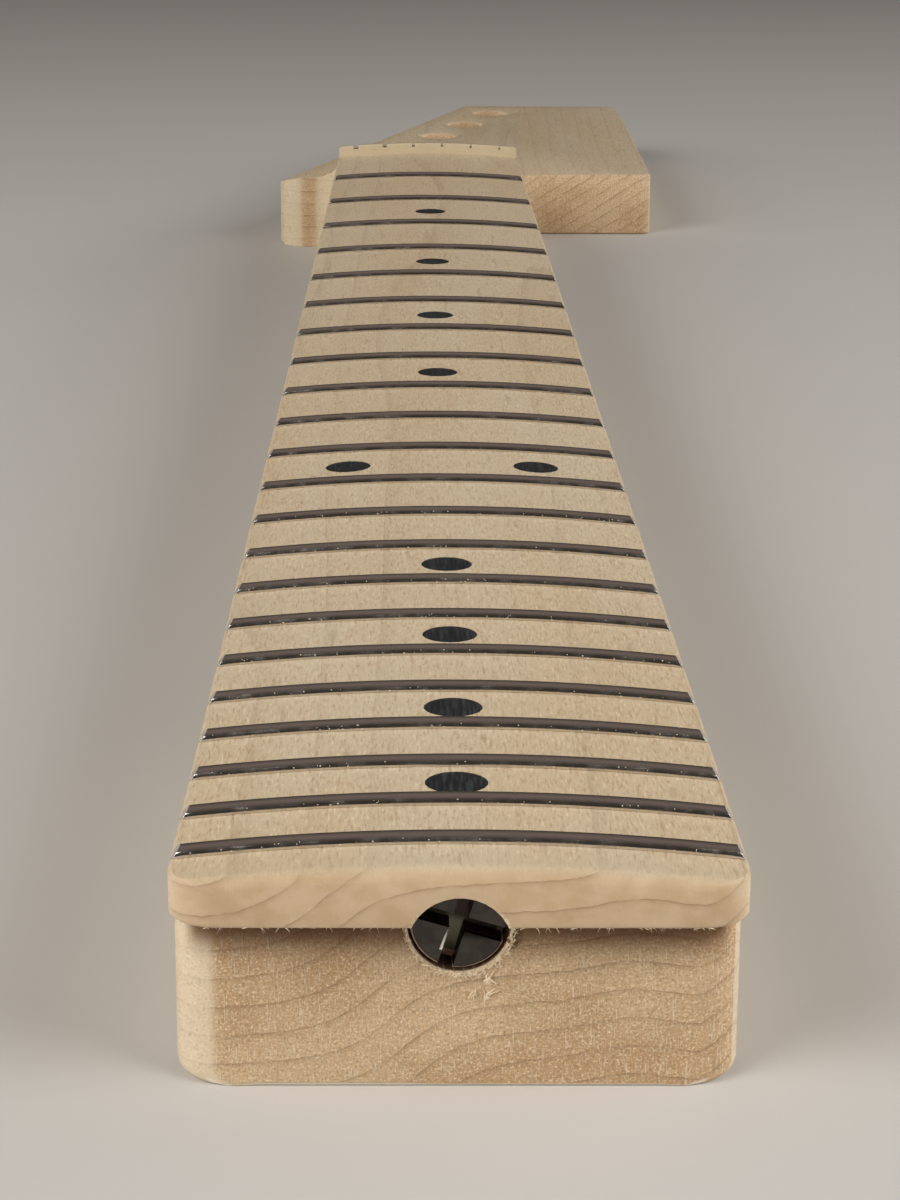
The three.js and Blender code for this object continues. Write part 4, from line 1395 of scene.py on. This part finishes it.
random.seed(LITTER_SEED)
tuft_draws = in_tufts()
bore_draws = round_the_bore(*LOWER_RIM) + round_the_bore(*LOW_RIGHT_RIM)
torn_bore = strew(sliver(0.35), bore_draws, "torn_bore_rim")
brushed = 0
for corner in torn_bore.data.vertices:
    out = from_bore(corner.co)
    if out < CLEAR_OF_NUT * MM:
        push = CLEAR_OF_NUT * MM / out
        corner.co.x *= push
        corner.co.z = ROD_AXIS_Z * MM + (corner.co.z - ROD_AXIS_Z * MM) * push
        brushed += 1
print("fibre corners brushed clear of the nut:", brushed)

torn_overhang = strew(sliver(0.5), under_the_overhang(), "torn_overhang_edge")
for corner in torn_overhang.data.vertices:
    corner.co.y = max(corner.co.y, OVERHANG_END_Y)
torn_specks = strew(sliver(0.6), tuft_draws, "torn_heel_specks")

dusty_frets = range(FIRST_DUSTY_FRET, FRET_COUNT + 1)
dust_draws = [draw for number in dusty_frets for draw in beside_a_fret(number)]
dust = strew(grain(), dust_draws, "polishing_dust")
litter = (torn_bore, torn_overhang, torn_specks, dust)
print("fibres and grains:", [len(piece.data.polygons) for piece in litter])

# %% [markdown]
# The neck lies on its back on a plain pale floor, one sheet that reaches past every
# view. A floor needs no edge break, only a tone that doesn't glare.

# %% Floor
FLOOR_SIZE = 12
FLOOR_BELOW = 0.05
FLOOR_TONE = shade(0.60, 0.59, 0.57)
FLOOR_TONE_LIGHT = shade(0.64, 0.63, 0.61)

bpy.ops.mesh.primitive_plane_add(size=FLOOR_SIZE, location=(0, 0, -FLOOR_BELOW * MM))
floor = bpy.context.object
floor.name = "pale_floor"
floor_finish, floor_shader, floor_place = new_finish("pale_floor_paint", Roughness=0.75)
floor_colour = blend(speckle(floor_place, (180, 180, 180)), FLOOR_TONE, FLOOR_TONE_LIGHT)
drive(floor_shader, Base_Color=floor_colour)
floor.data.materials.append(floor_finish)
print("floor:", FLOOR_SIZE, "m")

# %% [markdown]
# The wood wants broad, soft light, but polished fret crowns mirror whatever stands
# before and above them. Four softboxes at the sides light the wood, two high in front
# and two low beside it, and the crowns, which only curve from heel to head, hardly see
# them.

# %% Light
HEEL = (0, 0.05, 0)
WARM_WHITE = (1.0, 0.97, 0.93)
SOFTBOX_SPREAD = math.radians(95)
SOFTBOXES = [
    ("left_front_softbox", (-1.0, -0.75, 0.85), 1.0, 0.8, 4.8),
    ("right_front_softbox", (1.05, -0.6, 0.8), 0.9, 0.8, 3.7),
    ("left_side_softbox", (-1.3, -0.15, 0.35), 1.6, 0.5, 2.0),
    ("right_side_softbox", (1.3, 0.3, 0.35), 1.6, 0.5, 2.8),
]

for name, place, width, height, power in SOFTBOXES:
    bpy.ops.object.light_add(type="AREA", location=place)
    lamp = bpy.context.object
    lamp.name = name
    lamp.data.shape = "RECTANGLE"
    lamp.data.size = width
    lamp.data.size_y = height
    lamp.data.energy = power
    lamp.data.color = WARM_WHITE
    lamp.data.spread = SOFTBOX_SPREAD
    away = Vector(place) - Vector(HEEL)
    lamp.rotation_euler = away.to_track_quat("Z", "Y").to_euler()
print("lamps:", len(SOFTBOXES))

# %% [markdown]
# A bright sky would turn every crown white. This one is dim, so the frets read as dark
# wire against pale wood, as in the photograph. Only its middle, high over the
# headstock, is brighter, which lights the board and gives each crown a soft grey band.

# %% Sky
SKY_MIDDLE = (0, 0.342, 0.940)
SKY_EDGE = 0.35
SKY_DIM = shade(0.040, 0.035, 0.028)
SKY_BRIGHT = shade(0.168, 0.134, 0.120)

world = bpy.data.worlds.new("grey_studio")
world.use_nodes = True
bpy.context.scene.world = world
direction = Flow(world.node_tree).node("ShaderNodeTexCoord", output="Generated")
towards_middle = {0: direction, 1: SKY_MIDDLE}
above = direction.node("ShaderNodeVectorMath", towards_middle, {"operation": "DOT_PRODUCT"}, 1)
inside = above.math("MAXIMUM", (above - SKY_EDGE) / (1 - SKY_EDGE), 0.0)
sky = blend(inside ** 1.8, SKY_DIM, SKY_BRIGHT)
backdrop = world.node_tree.nodes["Background"]
sky.tree.links.new(sky.socket, backdrop.inputs["Color"])
bpy.context.scene.view_settings.view_transform = "Standard"
print("sky brightens within", round(math.degrees(math.acos(SKY_EDGE))), "degrees of its middle")

# %% [markdown]
# Other parts fit to the packed neck, so the dressed one has to keep its box.

# %% [markdown]
